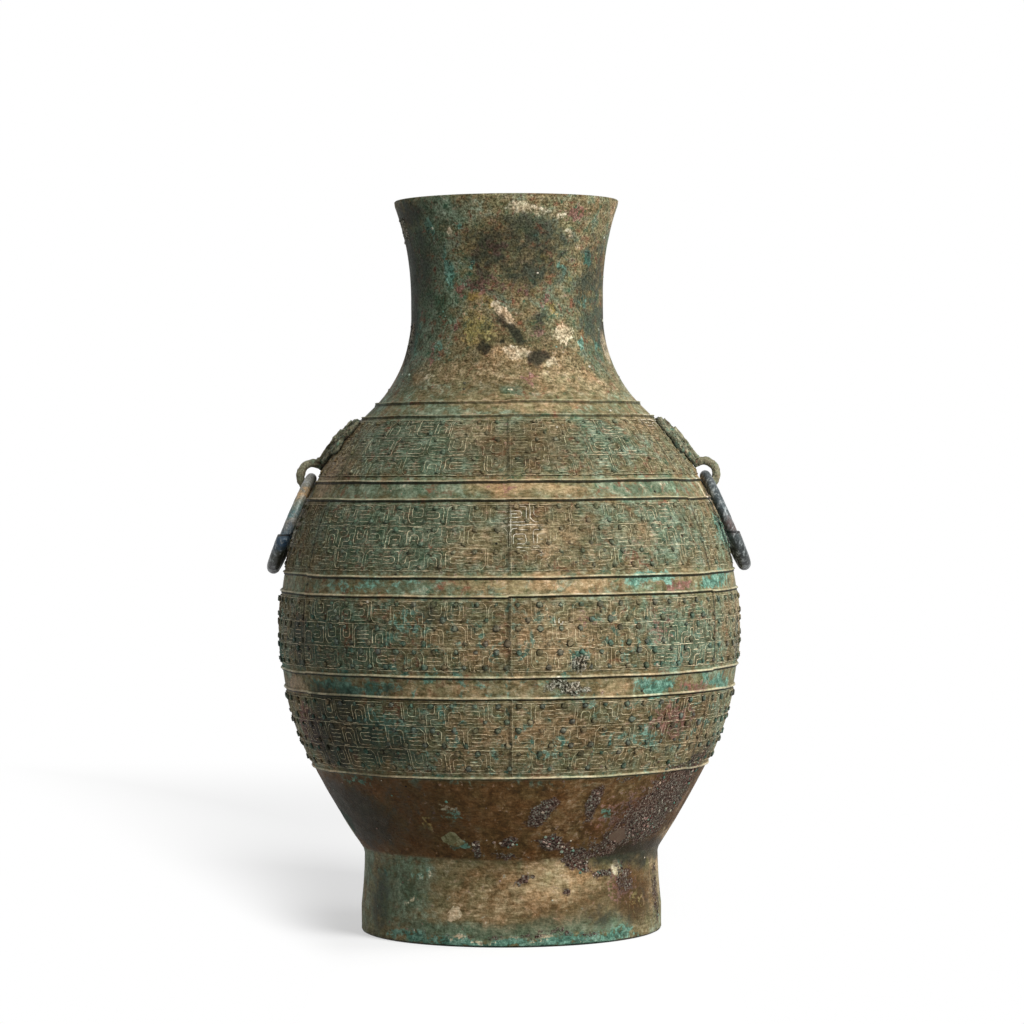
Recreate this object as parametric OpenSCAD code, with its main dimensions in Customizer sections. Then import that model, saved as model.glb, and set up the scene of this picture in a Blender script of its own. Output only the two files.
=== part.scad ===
// Bronze hu wine vessel: a cast wall with string ridges and ornament bands, two beast-mask
// handles soldered to the shoulder, and a loose ring hanging in the nose loop of each mask.
// The origin is the centre of the foot's base; Z is up, and the masks face +X and -X.

/* [Neck and rim] */
// Height of the vessel from the foot's base to the rim
vessel_h = 363; // [355:0.5:372]
// Outer diameter of the rim
rim_d = 111.8; // [106:0.2:118]
// Height of the upright land round the outside of the rim
rim_land = 2; // [1:0.5:4]
// Width of the flat top of the rim
rim_flat = 2.9; // [2.4:0.1:3.6]
// Outer diameter of the neck where it is narrowest
neck_d = 96.2; // [92:0.2:100]
// Height at which the neck starts to flare towards the rim
neck_top_z = 316; // [311:0.5:322]
// Height at which the neck starts to widen towards the shoulder
neck_bottom_z = 306; // [302:0.5:309]

/* [Belly] */
// Outer diameter of the belly at its widest, between the ridges
belly_d = 229.2; // [224:0.2:234]
// Height of the belly's widest point
belly_z = 151; // [148:0.5:154]
// Radius of the belly's profile
belly_arc_r = 150; // [147:0.5:153]

/* [Foot] */
// Outer diameter of the foot's base
foot_d = 149.8; // [147:0.2:153]
// Outer diameter at the top of the foot, where the belly meets it
foot_top_d = 146.6; // [142:0.2:147]
// Height of the joint between foot and belly
foot_h = 40.5; // [37:0.5:44]
// Height of the upright band at the bottom of the foot
foot_band_h = 13; // [8:0.5:18]
// Thickness of the foot's wall
foot_wall = 3.2; // [2.6:0.1:4]

/* [Walls] */
// Thickness of the wall of neck and belly
wall_t = 2.5; // [2:0.1:3]
// Thickness of the floor
floor_t = 3.2; // [2.6:0.1:4]
// Rise of the inside of the floor above the joint between foot and belly
floor_rise = 0.5; // [0:0.1:1]
// Radius of the level part of the floor
floor_flat_r = 64; // [58:0.5:66]

/* [Ridges and ornament bands] */
// Height of the uppermost ridge
top_ridge_z = 262.2; // [261.8:0.1:263]
// Heights of the four plain bands, from the neck down
plain_band_h = [6.8, 8.8, 9, 9.9]; // [6:0.1:11]
// Heights of the four ornament bands, from the neck down
scroll_band_h = [31.4, 36, 38, 38.8]; // [30:0.1:40]
// How far the ridges stand out
ridge_h = 0.9; // [0.5:0.05:1.2]
// Width of a ridge at its root
ridge_w = 1.5; // [1:0.1:2]
// How far the ornament bands stand out
scroll_band_t = 0.45; // [0.2:0.05:0.7]
// Plain strip between an ornament band and its ridges
scroll_band_margin = 2.3; // [1.5:0.1:3]

/* [Masks] */
// Width of a mask across the ears
mask_w = 50; // [48:0.5:52]
// Length of a mask along the slope of the shoulder
mask_len = 31; // [29:0.5:32]
// Height of the mask's top edge
mask_top_z = 254.2; // [253.6:0.1:254.4]
// Gap between the underside of a mask and the plain wall, which clears the ornament
mask_seat = 0.6; // [0.5:0.05:0.8]
// Thickness of a mask at its edge
mask_t = 2; // [1.7:0.1:2.3]
// Rise of the horns, ears and cheeks above the face
curl_h = 0.9; // [0.5:0.1:1.4]
// Rise of the brows and forehead above the face
brow_h = 1.5; // [1:0.1:2]
// Rise of the muzzle above the face
muzzle_h = 2.6; // [2.2:0.1:3.4]
// Diameter of a horn's curl
horn_d = 15; // [13:0.5:16]
// Diameter of an ear
ear_d = 9; // [8:0.5:10]
// Diameter of a cheek
cheek_d = 12; // [11:0.5:13]
// Width of the muzzle
muzzle_w = 11; // [9.5:0.5:12]
// Width of the raised line of a curl
curl_line_w = 2.1; // [1.6:0.1:2.4]
// Diameter of an eye
eye_d = 5.2; // [4:0.2:5.8]
// Distance between the eyes
eye_gap = 14.4; // [13:0.2:16]

/* [Mask fixing] */
// Depth of the hollow in a mask's back
hollow_depth = 1; // [0.6:0.1:1.2]
// Width of the hollow
hollow_w = 17; // [14:0.5:19]
// Length of the hollow along the slope
hollow_len = 14; // [12:0.5:16]
// Diameter of the tenon on the wall under each mask
tenon_d = 6; // [4:0.5:8]
// Height of the tenon above the plain wall
tenon_h = 1.2; // [1:0.05:1.4]

/* [Nose loops and rings] */
// Radius of a nose loop, to the middle of its bar
loop_r = 6.6; // [6.3:0.1:7]
// Diameter of a nose loop's bar
loop_bar_d = 4.6; // [4:0.1:4.8]
// Distance of the middle of a nose loop from the plain wall
loop_stand = 2.7; // [2.5:0.1:3]
// Height of the middle of a nose loop
loop_z = 226.5; // [226:0.1:227]
// Outer diameter of a handle ring
ring_d = 53.8; // [50:0.2:56]
// Thickness of the worn upper part of a ring
ring_bar_d = 5.4; // [4.8:0.1:5.6]
// Thickness of the lower part of a ring
ring_low_bar_d = 6.6; // [6:0.1:7]
// Angle that the thick lower part of a ring takes up
ring_low_sweep = 146; // [120:2:170]
// How far the thick part is set outwards
ring_low_shift = 0.4; // [0.3:0.05:0.6]
// Gap between a ring at rest and the inside of its loop
ring_play = 0.25; // [0.2:0.05:0.5]
// Lean of a ring at rest, away from the vertical
ring_lean = 23; // [22:0.5:30]
// Half angle of the break in the third ridge, behind each ring
ridge_break = 7; // [6:0.5:9]

/* [Chaplets] */
// Number of chaplets round the lower wall
wall_chaplets_n = 6; // [3:1:8]
// Width of a wall chaplet, from corner to corner
wall_chaplet_w = 12; // [8:0.5:14]
// Height of a wall chaplet
wall_chaplet_h = 9.5; // [7:0.5:11]
// Height of the wall chaplets above the foot's base
wall_chaplet_z = 52.5; // [50:0.5:70]
// Bearing of the first wall chaplet, counted from the right-hand mask
wall_chaplet_bearing = -110.2; // [-120:0.1:-100]
// Number of chaplets in the floor
floor_chaplets_n = 4; // [3:1:6]
// Width of a floor chaplet
floor_chaplet_w = 7; // [5:0.5:10]
// Distance of the floor chaplets from the middle
floor_chaplet_r = 38; // [25:0.5:50]

/* [Hidden] */
neck_r = neck_d / 2;
rim_r = rim_d / 2;
foot_r = foot_d / 2;
foot_top_r = foot_top_d / 2;
inward = -wall_t;

// An arc is held as its centre, its radius and the bearing of its outward side at each end.
// A negative radius bends the other way, and adding to the radius moves the wall outwards.
function on_arc(c, r, a) = [c.x + r * cos(a), c.y + r * sin(a)];
function arc_points(c, r, a0, a1, n) = [for (i = [0:n]) on_arc(c, r, a0 + (a1 - a0) * i / n)];
function flip(points) = [for (i = [len(points) - 1:-1:0]) points[i]];
// Radius of the arc that leaves p with its outward side at bearing a and ends at q
function radius_to(p, a, q) = -norm(q - p) ^ 2 / (2 * (q - p) * [cos(a), sin(a)]);
function bearing_at(c, r, z) = asin((z - c.y) / r);

// Belly, and the hollow curve of the lower neck that runs into it without a corner
belly_c = [belly_d / 2 - belly_arc_r, belly_z];
widen = belly_d / 2 - neck_r;
rise = neck_bottom_z - belly_z;
neck_arc_r = belly_arc_r - (widen ^ 2 + rise ^ 2) / (2 * widen);
neck_c = [neck_r - neck_arc_r, neck_bottom_z];
shoulder_a = atan2(neck_c.y - belly_c.y, neck_c.x - belly_c.x);
shoulder_z = on_arc(belly_c, belly_arc_r, shoulder_a).y;

// Heights of the ridges, from the neck down
ridge_z = [for (i = [0:8])
    top_ridge_z - sum_first(plain_band_h, ceil(i / 2)) - sum_first(scroll_band_h, floor(i / 2))];
function sum_first(v, n) = n <= 0 ? 0 : v[n - 1] + sum_first(v, n - 1);
broken_ridge = 2;
low_ridge = 8;

// Lower wall, from the lowest ridge to the foot
taper_a = bearing_at(belly_c, belly_arc_r, ridge_z[low_ridge]);
taper_top = on_arc(belly_c, belly_arc_r, taper_a);
taper_r = radius_to(taper_top, taper_a, [foot_top_r, foot_h]);
taper_c = on_arc(taper_top, -taper_r, taper_a);
taper_end_a = bearing_at(taper_c, taper_r, foot_h);

// Foot and rim
foot_arc_r = radius_to([foot_top_r, foot_h], 0, [foot_r, foot_band_h]);
foot_c = [foot_top_r - foot_arc_r, foot_h];
rim_z = vessel_h - rim_land;
rim_arc_r = radius_to([neck_r, neck_top_z], 0, [rim_r, rim_z]);
rim_c = [neck_r - rim_arc_r, neck_top_z];
floor_top = foot_h + floor_rise;
floor_under = floor_top - floor_t;

taper_steps = 6;
belly_steps = 26;
neck_steps = 9;
rim_steps = 8;
foot_steps = 4;

// Wall from the top of the foot to the rim, moved outwards by off
function wall_points(off) = concat(
    flip(arc_points(taper_c, taper_r + off, taper_a, taper_end_a, taper_steps)),
    [for (i = [1:belly_steps - 1])
        on_arc(belly_c, belly_arc_r + off, taper_a + (shoulder_a - taper_a) * i / belly_steps)],
    flip(arc_points(neck_c, neck_arc_r + off, 0, shoulder_a, neck_steps)),
    arc_points(rim_c, rim_arc_r + off, 0, bearing_at(rim_c, rim_arc_r, rim_z), rim_steps));

// Place of a ridge on the profile: its point, and the bearing of its outward side
function ridge_bearing(z) = z > shoulder_z ? bearing_at(neck_c, neck_arc_r, z)
    : bearing_at(belly_c, belly_arc_r, z);
function ridge_point(z) = z > shoulder_z ? on_arc(neck_c, neck_arc_r, ridge_bearing(z))
    : on_arc(belly_c, belly_arc_r, ridge_bearing(z));

// Masks: their place on the shoulder and the parts of the face, x running down the slope
mask_a = bearing_at(belly_c, belly_arc_r, mask_top_z) - mask_len / 2 / belly_arc_r * 180 / PI;
mask_at = on_arc(belly_c, belly_arc_r, mask_a);
face_top = mask_seat + mask_t;
curl_inset = 0.8;
horn_at = [-mask_len / 2 + horn_d / 2, mask_w / 2 - horn_d / 2 - 1.5];
ear_at = [horn_at.x + horn_d / 2 + ear_d / 4, mask_w / 2 - ear_d / 2];
cheek_at = [mask_len / 2 - muzzle_w / 2 - cheek_d / 4, muzzle_w / 2 + cheek_d / 3];
muzzle_at = [mask_len / 2 - muzzle_w / 2, 0];
eye_at = [-1, eye_gap / 2];
hollow_at = [mask_len / 2 - hollow_len / 2 - muzzle_w / 2, 0];
solder_gap = 0.05;
hollow_top = mask_seat + hollow_depth;
layer_overlap = 1;
shoulder_steps = 9;
shoulder_low_a = bearing_at(belly_c, belly_arc_r, loop_z - 2 * loop_r);
deep = 40;

// Nose loop, and the hinge line through the top of the ring that hangs in it
loop_a = bearing_at(belly_c, belly_arc_r + loop_stand, loop_z);
loop_at = on_arc(belly_c, belly_arc_r + loop_stand, loop_a);
hang = loop_r - loop_bar_d / 2 - ring_bar_d / 2 - ring_play;
hang_a = -42;
hinge_at = on_arc(loop_at, hang, hang_a);
ring_r = ring_d / 2 - ring_bar_d / 2;

// Chaplets on the lower wall
chaplet_a = bearing_at(taper_c, taper_r, wall_chaplet_z);
chaplet_at = on_arc(taper_c, taper_r, chaplet_a);
chaplet_corners = [[-0.49, 0.06], [-0.02, 0.48], [0.18, 0.42], [0.5, -0.24], [0.15, -0.52], [-0.41, -0.22]];

round_fn = 96;
small_fn = 36;

right = 0;
left = 180;

// Solid profile of the wall, without its hollows
module outside_profile()
    polygon(concat(
        [[0, 0], [foot_r, 0]],
        flip(arc_points(foot_c, foot_arc_r, 0, bearing_at(foot_c, foot_arc_r, foot_band_h), foot_steps)),
        wall_points(0),
        [[rim_r, vessel_h], [0, vessel_h]]));

// Inside of neck and belly, open at the rim
module wine_space_profile()
    polygon(concat(
        [[0, floor_top], [floor_flat_r, floor_top]],
        wall_points(inward),
        [[rim_r - rim_flat, vessel_h], [rim_r - rim_flat, vessel_h + wall_t], [0, vessel_h + wall_t]]));

// Hollow under the floor, open below
module foot_space_profile()
    polygon([
        [0, -foot_wall], [foot_r - foot_wall, -foot_wall], [foot_r - foot_wall, foot_band_h],
        [foot_top_r - foot_wall, floor_under], [0, floor_under]]);

module ridge_profile(z)
    translate(ridge_point(z)) rotate(ridge_bearing(z))
        polygon([[-wall_t / 3, -ridge_w / 2], [0, -ridge_w / 2], [ridge_h, -ridge_w / 5],
            [ridge_h, ridge_w / 5], [0, ridge_w / 2], [-wall_t / 3, ridge_w / 2]]);

// Raised ground of one ornament band, between two ridges
module scroll_band_profile(high, low) {
    a0 = bearing_at(belly_c, belly_arc_r, low + scroll_band_margin);
    a1 = bearing_at(belly_c, belly_arc_r, high - scroll_band_margin);
    polygon(concat(
        arc_points(belly_c, belly_arc_r + scroll_band_t, a0, a1, 6),
        flip(arc_points(belly_c, belly_arc_r - wall_t / 3, a0, a1, 6))));
}

module wall_profile() {
    difference() {
        outside_profile();
        wine_space_profile();
        foot_space_profile();
    }
    for (i = [0:low_ridge])
        if (i != broken_ridge) ridge_profile(ridge_z[i]);
    for (i = [1:2:7])
        scroll_band_profile(ridge_z[i], ridge_z[i + 1]);
}

// Puts its children on the shoulder of one side: x runs down the slope, z away from the wall
module on_mask_place(side)
    rotate([0, 0, side])
        translate([mask_at.x, 0, mask_at.y])
            rotate([0, 90 - mask_a, 0])
                children();

// Part of the shoulder between two distances from the plain wall
module shoulder_layer(side, low, high)
    rotate([0, 0, side - 30])
        rotate_extrude(angle = 60, $fn = round_fn)
            polygon(concat(
                arc_points(belly_c, belly_arc_r + low, shoulder_low_a, shoulder_a, shoulder_steps),
                flip(arc_points(belly_c, belly_arc_r + high, shoulder_low_a, shoulder_a, shoulder_steps))));

// Relief of an even height that follows the curve of the shoulder
module relief(side, low, high)
    intersection() {
        on_mask_place(side) linear_extrude(deep, center = true) children();
        shoulder_layer(side, low, high);
    }

module both(at)
    for (s = [-1, 1]) translate([at.x, s * at.y]) scale([1, s]) children();

// Raised line that curls round, open towards bearing open_a
module curl(d, open_a) {
    difference() {
        circle(d / 2);
        circle(d / 2 - curl_line_w);
        rotate(open_a) translate([0, -curl_line_w * 0.6]) square([d, curl_line_w * 1.2]);
    }
    rotate(open_a) translate([curl_line_w * 0.3, 0]) circle(curl_line_w * 0.62);
}

module face_outline() {
    both(horn_at) circle(horn_d / 2);
    both(ear_at) circle(ear_d / 2);
    both(cheek_at) circle(cheek_d / 2);
    translate(muzzle_at) circle(muzzle_w / 2);
    translate([-mask_len / 2 + curl_inset, -eye_gap]) square([mask_len * 0.72, 2 * eye_gap]);
}

module curls_outline() {
    both(horn_at) curl(horn_d - 2 * curl_inset, 130);
    both(ear_at) curl(ear_d - 2 * curl_inset, -60);
    both(cheek_at) curl(cheek_d - 2 * curl_inset, -110);
}

module brows_outline() {
    both(eye_at)
        difference() {
            circle(eye_d * 1.25);
            circle(eye_d * 1.25 - curl_line_w);
            translate([eye_d * 0.3, -2 * eye_d]) square(4 * eye_d);
        }
    translate([-mask_len / 2 + curl_line_w * 3, 0]) rotate(45) square(curl_line_w * 2.6, center = true);
}

module muzzle_outline() {
    bridge_x = eye_at.x - eye_d;
    translate(muzzle_at) circle(muzzle_w / 2 - curl_inset);
    polygon([[bridge_x, -curl_line_w], [muzzle_at.x, -curl_line_w * 1.6],
        [muzzle_at.x, curl_line_w * 1.6], [bridge_x, curl_line_w]]);
}

module hollow_outline()
    translate(hollow_at) square([hollow_len, hollow_w], center = true);

module tenon(side)
    on_mask_place(side) translate([hollow_at.x, 0, -wall_t / 2])
        cylinder(d = tenon_d, h = wall_t / 2 + tenon_h, $fn = small_fn);

module eyes_and_nostrils(side)
    on_mask_place(side)
        for (s = [-1, 1]) {
            translate([eye_at.x, s * eye_at.y, face_top]) sphere(d = eye_d, $fn = small_fn);
            translate([muzzle_at.x + muzzle_w / 4, s * muzzle_w / 4, face_top + muzzle_h - 1])
                sphere(d = muzzle_w / 4, $fn = small_fn);
        }

// Loop that grows out of the muzzle and comes back to just short of the wall
module nose_loop(side)
    rotate([0, 0, side]) translate([loop_at.x, 0, loop_at.y]) rotate([90, 0, 0])
        rotate_extrude($fn = 48) translate([loop_r, 0]) circle(d = loop_bar_d, $fn = 24);

module mask(side) {
    difference() {
        union() {
            relief(side, mask_seat, face_top) face_outline($fn = small_fn);
            relief(side, face_top - layer_overlap, face_top + curl_h) curls_outline($fn = small_fn);
            relief(side, face_top - layer_overlap, face_top + brow_h) brows_outline($fn = small_fn);
            relief(side, face_top - layer_overlap, face_top + muzzle_h) muzzle_outline($fn = small_fn);
            difference() {
                union() {
                    eyes_and_nostrils(side);
                    nose_loop(side);
                }
                shoulder_layer(side, -deep, mask_seat);
            }
        }
        relief(side, -deep / 2, hollow_top) hollow_outline();
    }
}

// Solder that fills the hollow round the tenon and beds the mask on the ornament
module mask_solder(side)
    difference() {
        relief(side, scroll_band_t + solder_gap, hollow_top) hollow_outline();
        tenon(side);
    }

// Ring hanging from the hinge line, its thick part at the bottom
module handle_ring(side)
    rotate([0, 0, side]) translate([hinge_at.x, 0, hinge_at.y]) rotate([0, -ring_lean, 0])
        translate([0, 0, -ring_r]) rotate([0, 90, 0]) {
            rotate_extrude($fn = round_fn) translate([ring_r, 0]) circle(d = ring_bar_d, $fn = 24);
            rotate([0, 0, -ring_low_sweep / 2])
                rotate_extrude(angle = ring_low_sweep, $fn = round_fn)
                    translate([ring_r, ring_low_shift]) circle(d = ring_low_bar_d, $fn = 24);
        }

// Third ridge, in two lengths that stop short of the rings
module broken_ridge_arcs()
    for (side = [right, left])
        rotate([0, 0, side + ridge_break])
            rotate_extrude(angle = 180 - 2 * ridge_break, $fn = round_fn)
                ridge_profile(ridge_z[broken_ridge]);

// Uneven six-sided pegs that run square through the lower wall
module wall_chaplet_pegs()
    for (i = [0:wall_chaplets_n - 1])
        rotate([0, 0, wall_chaplet_bearing + 360 * i / wall_chaplets_n])
            translate([chaplet_at.x, 0, chaplet_at.y]) rotate([0, 90 - chaplet_a, 0])
                linear_extrude(height = 4 * wall_t, center = true)
                    polygon([for (p = chaplet_corners) [-p.y * wall_chaplet_h, p.x * wall_chaplet_w]]);

module floor_chaplet_pegs(low, high)
    for (i = [0:floor_chaplets_n - 1])
        rotate([0, 0, 360 * (i + 0.5) / floor_chaplets_n])
            translate([floor_chaplet_r - floor_chaplet_w / 2, -floor_chaplet_w / 2, low])
                cube([floor_chaplet_w, floor_chaplet_w, high - low]);

module vessel_body() {
    color([0.37, 0.37, 0.28])
        difference() {
            union() {
                rotate_extrude($fn = round_fn) wall_profile();
                broken_ridge_arcs();
                tenon(right);
                tenon(left);
            }
            wall_chaplet_pegs();
            floor_chaplet_pegs(floor_under - 1, floor_top + 1);
        }
}

// Pads that held core and mould apart, flush with both faces of the lower wall
module wall_chaplets() {
    color([0.47, 0.4, 0.27])
        intersection() {
            wall_chaplet_pegs();
            rotate_extrude($fn = round_fn)
                polygon(concat(
                    arc_points(taper_c, taper_r, taper_a, taper_end_a, taper_steps),
                    flip(arc_points(taper_c, taper_r + inward, taper_a, taper_end_a, taper_steps))));
        }
}

module floor_chaplets() {
    color([0.45, 0.38, 0.26]) floor_chaplet_pegs(floor_under, floor_top);
}

module right_mask() {
    color([0.43, 0.46, 0.34]) mask(right);
}

module left_mask() {
    color([0.4, 0.43, 0.32]) mask(left);
}

module right_mask_solder() {
    color([0.55, 0.56, 0.53]) mask_solder(right);
}

module left_mask_solder() {
    color([0.55, 0.56, 0.53]) mask_solder(left);
}

module right_ring() {
    color([0.22, 0.25, 0.26]) handle_ring(right);
}

module left_ring() {
    color([0.26, 0.29, 0.27]) handle_ring(left);
}

vessel_body();
wall_chaplets();
floor_chaplets();
right_mask();
left_mask();
right_mask_solder();
left_mask_solder();
right_ring();
left_ring();
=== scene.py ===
"""Looks of a bronze wine vessel with ornament bands and two ring handles, built round its CAD frame."""

import math

import bmesh
import bpy
import numpy as np
from mathutils import Matrix, Vector


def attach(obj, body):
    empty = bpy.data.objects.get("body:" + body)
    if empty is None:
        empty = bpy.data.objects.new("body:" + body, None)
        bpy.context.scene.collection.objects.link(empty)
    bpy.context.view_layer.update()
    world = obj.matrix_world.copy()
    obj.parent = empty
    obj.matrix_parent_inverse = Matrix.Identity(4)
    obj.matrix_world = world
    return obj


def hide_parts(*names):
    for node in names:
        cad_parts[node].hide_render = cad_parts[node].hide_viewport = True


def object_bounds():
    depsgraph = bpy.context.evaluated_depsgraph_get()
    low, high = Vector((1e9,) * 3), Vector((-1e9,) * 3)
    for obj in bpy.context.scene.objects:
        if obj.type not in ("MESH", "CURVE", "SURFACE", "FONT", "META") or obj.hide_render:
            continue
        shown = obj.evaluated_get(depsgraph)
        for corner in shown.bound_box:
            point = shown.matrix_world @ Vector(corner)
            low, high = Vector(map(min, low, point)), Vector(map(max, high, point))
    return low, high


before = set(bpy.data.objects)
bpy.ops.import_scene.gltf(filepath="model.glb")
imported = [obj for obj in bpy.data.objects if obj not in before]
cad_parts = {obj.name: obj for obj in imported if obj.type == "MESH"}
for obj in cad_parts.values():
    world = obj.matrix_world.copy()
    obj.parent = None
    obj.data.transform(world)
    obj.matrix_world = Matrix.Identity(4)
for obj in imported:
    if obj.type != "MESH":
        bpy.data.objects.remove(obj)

cad_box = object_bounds()
MM = 0.001
# The ornament and the crust may stand out a little past the CAD solids
FURTHEST = cad_box[1][1] + 0.5 * MM

# Profile of the wall in mm: an arc is its centre, its radius and the bearing of its outward side
FOOT_R, FOOT_TOP_R, FOOT_WALL = 74.9, 73.3, 3.2
FOOT_H, FOOT_BAND_H, FLOOR_UNDER, FLOOR_TOP, FLOOR_FLAT_R = 40.5, 13.0, 37.8, 41.0, 64.0
NECK_R, NECK_TOP_Z, NECK_BOTTOM_Z = 48.1, 316.0, 306.0
RIM_R, RIM_Z, TOP_Z, RIM_FLAT, WALL = 55.9, 361.0, 363.0, 2.9, 2.5
BELLY_C, BELLY_ARC_R = (-35.4, 151.0), 150.0
NECK_C, NECK_ARC_R = (111.989, 306.0), -63.8891
TAPER_C, TAPER_R = (-248.137, 258.199), 388.22
FOOT_C, FOOT_ARC_R = (310.428, 40.5), -237.128
RIM_C, RIM_ARC_R = (181.808, 316.0), -133.708
SHOULDER_Z = 259.701

# Seeds of the patches round the back, the bands and the ridges
PATCH_SEED, BAND_SEED, RIDGE_SEED = 41, 200, 77

# Ridges from the neck down, with a plain band and an ornament band between them in turn
RIDGE_Z = (262.2, 255.4, 224.0, 215.2, 179.2, 170.2, 132.2, 122.3, 83.5)
BROKEN_RIDGE, RIDGE_BREAK = 2, 7.0
BAND_T, BAND_MARGIN = 0.45, 2.3
UNITS_ROUND = (54, 66, 72, 66)
TIERS = 3
SECTIONS = 6
BOSS_WIDTHS, BOSS_SHARES = (1.9, 2.0, 2.3, 2.3), (0.5, 0.6, 0.8, 0.8)
# How dark the foot of the bosses in each band is painted, a painted shade
BOSS_FOOT_SHADE = (-0.45, -0.5, -0.8, -0.9)
SEAM_STEPS, RIDGE_STEPS, RIDGE_REFERENCE_R = 360, 720, 114.6


def arc_at(centre, radius, z):
    """Distance from the axis and outward bearing, in radians, of an arc at heights z."""
    bearing = np.arcsin(np.clip((z - centre[1]) / radius, -1.0, 1.0))
    return centre[0] + radius * np.cos(bearing), bearing


def wall_at(z):
    """Distance from the axis and outward bearing of the outside of the plain wall."""
    z = np.asarray(z, float)
    level = np.zeros_like(z)
    stretches = (
        (z < FOOT_BAND_H, (level + FOOT_R, level)),
        (z < FOOT_H, arc_at(FOOT_C, FOOT_ARC_R, z)),
        (z < RIDGE_Z[-1], arc_at(TAPER_C, TAPER_R, z)),
        (z < SHOULDER_Z, arc_at(BELLY_C, BELLY_ARC_R, z)),
        (z < NECK_BOTTOM_Z, arc_at(NECK_C, NECK_ARC_R, z)),
        (z < NECK_TOP_Z, (level + NECK_R, level)),
        (z < RIM_Z, arc_at(RIM_C, RIM_ARC_R, z)),
        (z < TOP_Z + 1, (level + RIM_R, level)),
    )
    where = [stretch[0] for stretch in stretches]
    r = np.select(where, [stretch[1][0] for stretch in stretches])
    bearing = np.select(where, [stretch[1][1] for stretch in stretches])
    return r, bearing


def smooth(edge0, edge1, value):
    """Eased step from 0 to 1 between two edges."""
    t = np.clip((value - edge0) / (edge1 - edge0), 0.0, 1.0)
    return t * t * (3.0 - 2.0 * t)


def cloud(points, size, seed, octaves=1):
    """Seeded smooth noise from -1 to 1 at points in mm, with lumps of about that size."""
    total = np.zeros(len(points))
    share, shares = 1.0, 0.0
    for octave in range(octaves):
        table = np.random.default_rng(seed + octave).uniform(-1, 1, (32, 32, 32))
        place = points / (size * 0.5 ** octave) + 7.3 * octave
        low = np.floor(place).astype(int)
        part = place - low
        part = part * part * (3.0 - 2.0 * part)
        for corner in range(8):
            step = np.array([corner & 1, corner >> 1 & 1, corner >> 2 & 1])
            weight = np.prod(np.where(step, part, 1.0 - part), axis=1)
            cell = (low + step) % 32
            total += share * weight * table[cell[:, 0], cell[:, 1], cell[:, 2]]
        shares += share
        share *= 0.5
    return total / shares


def round_points(azimuth, r, z):
    """Points at azimuths counted from the front towards the right-hand mask."""
    return np.stack([r * np.sin(azimuth), -r * np.cos(azimuth), z + 0 * azimuth], -1)


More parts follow.
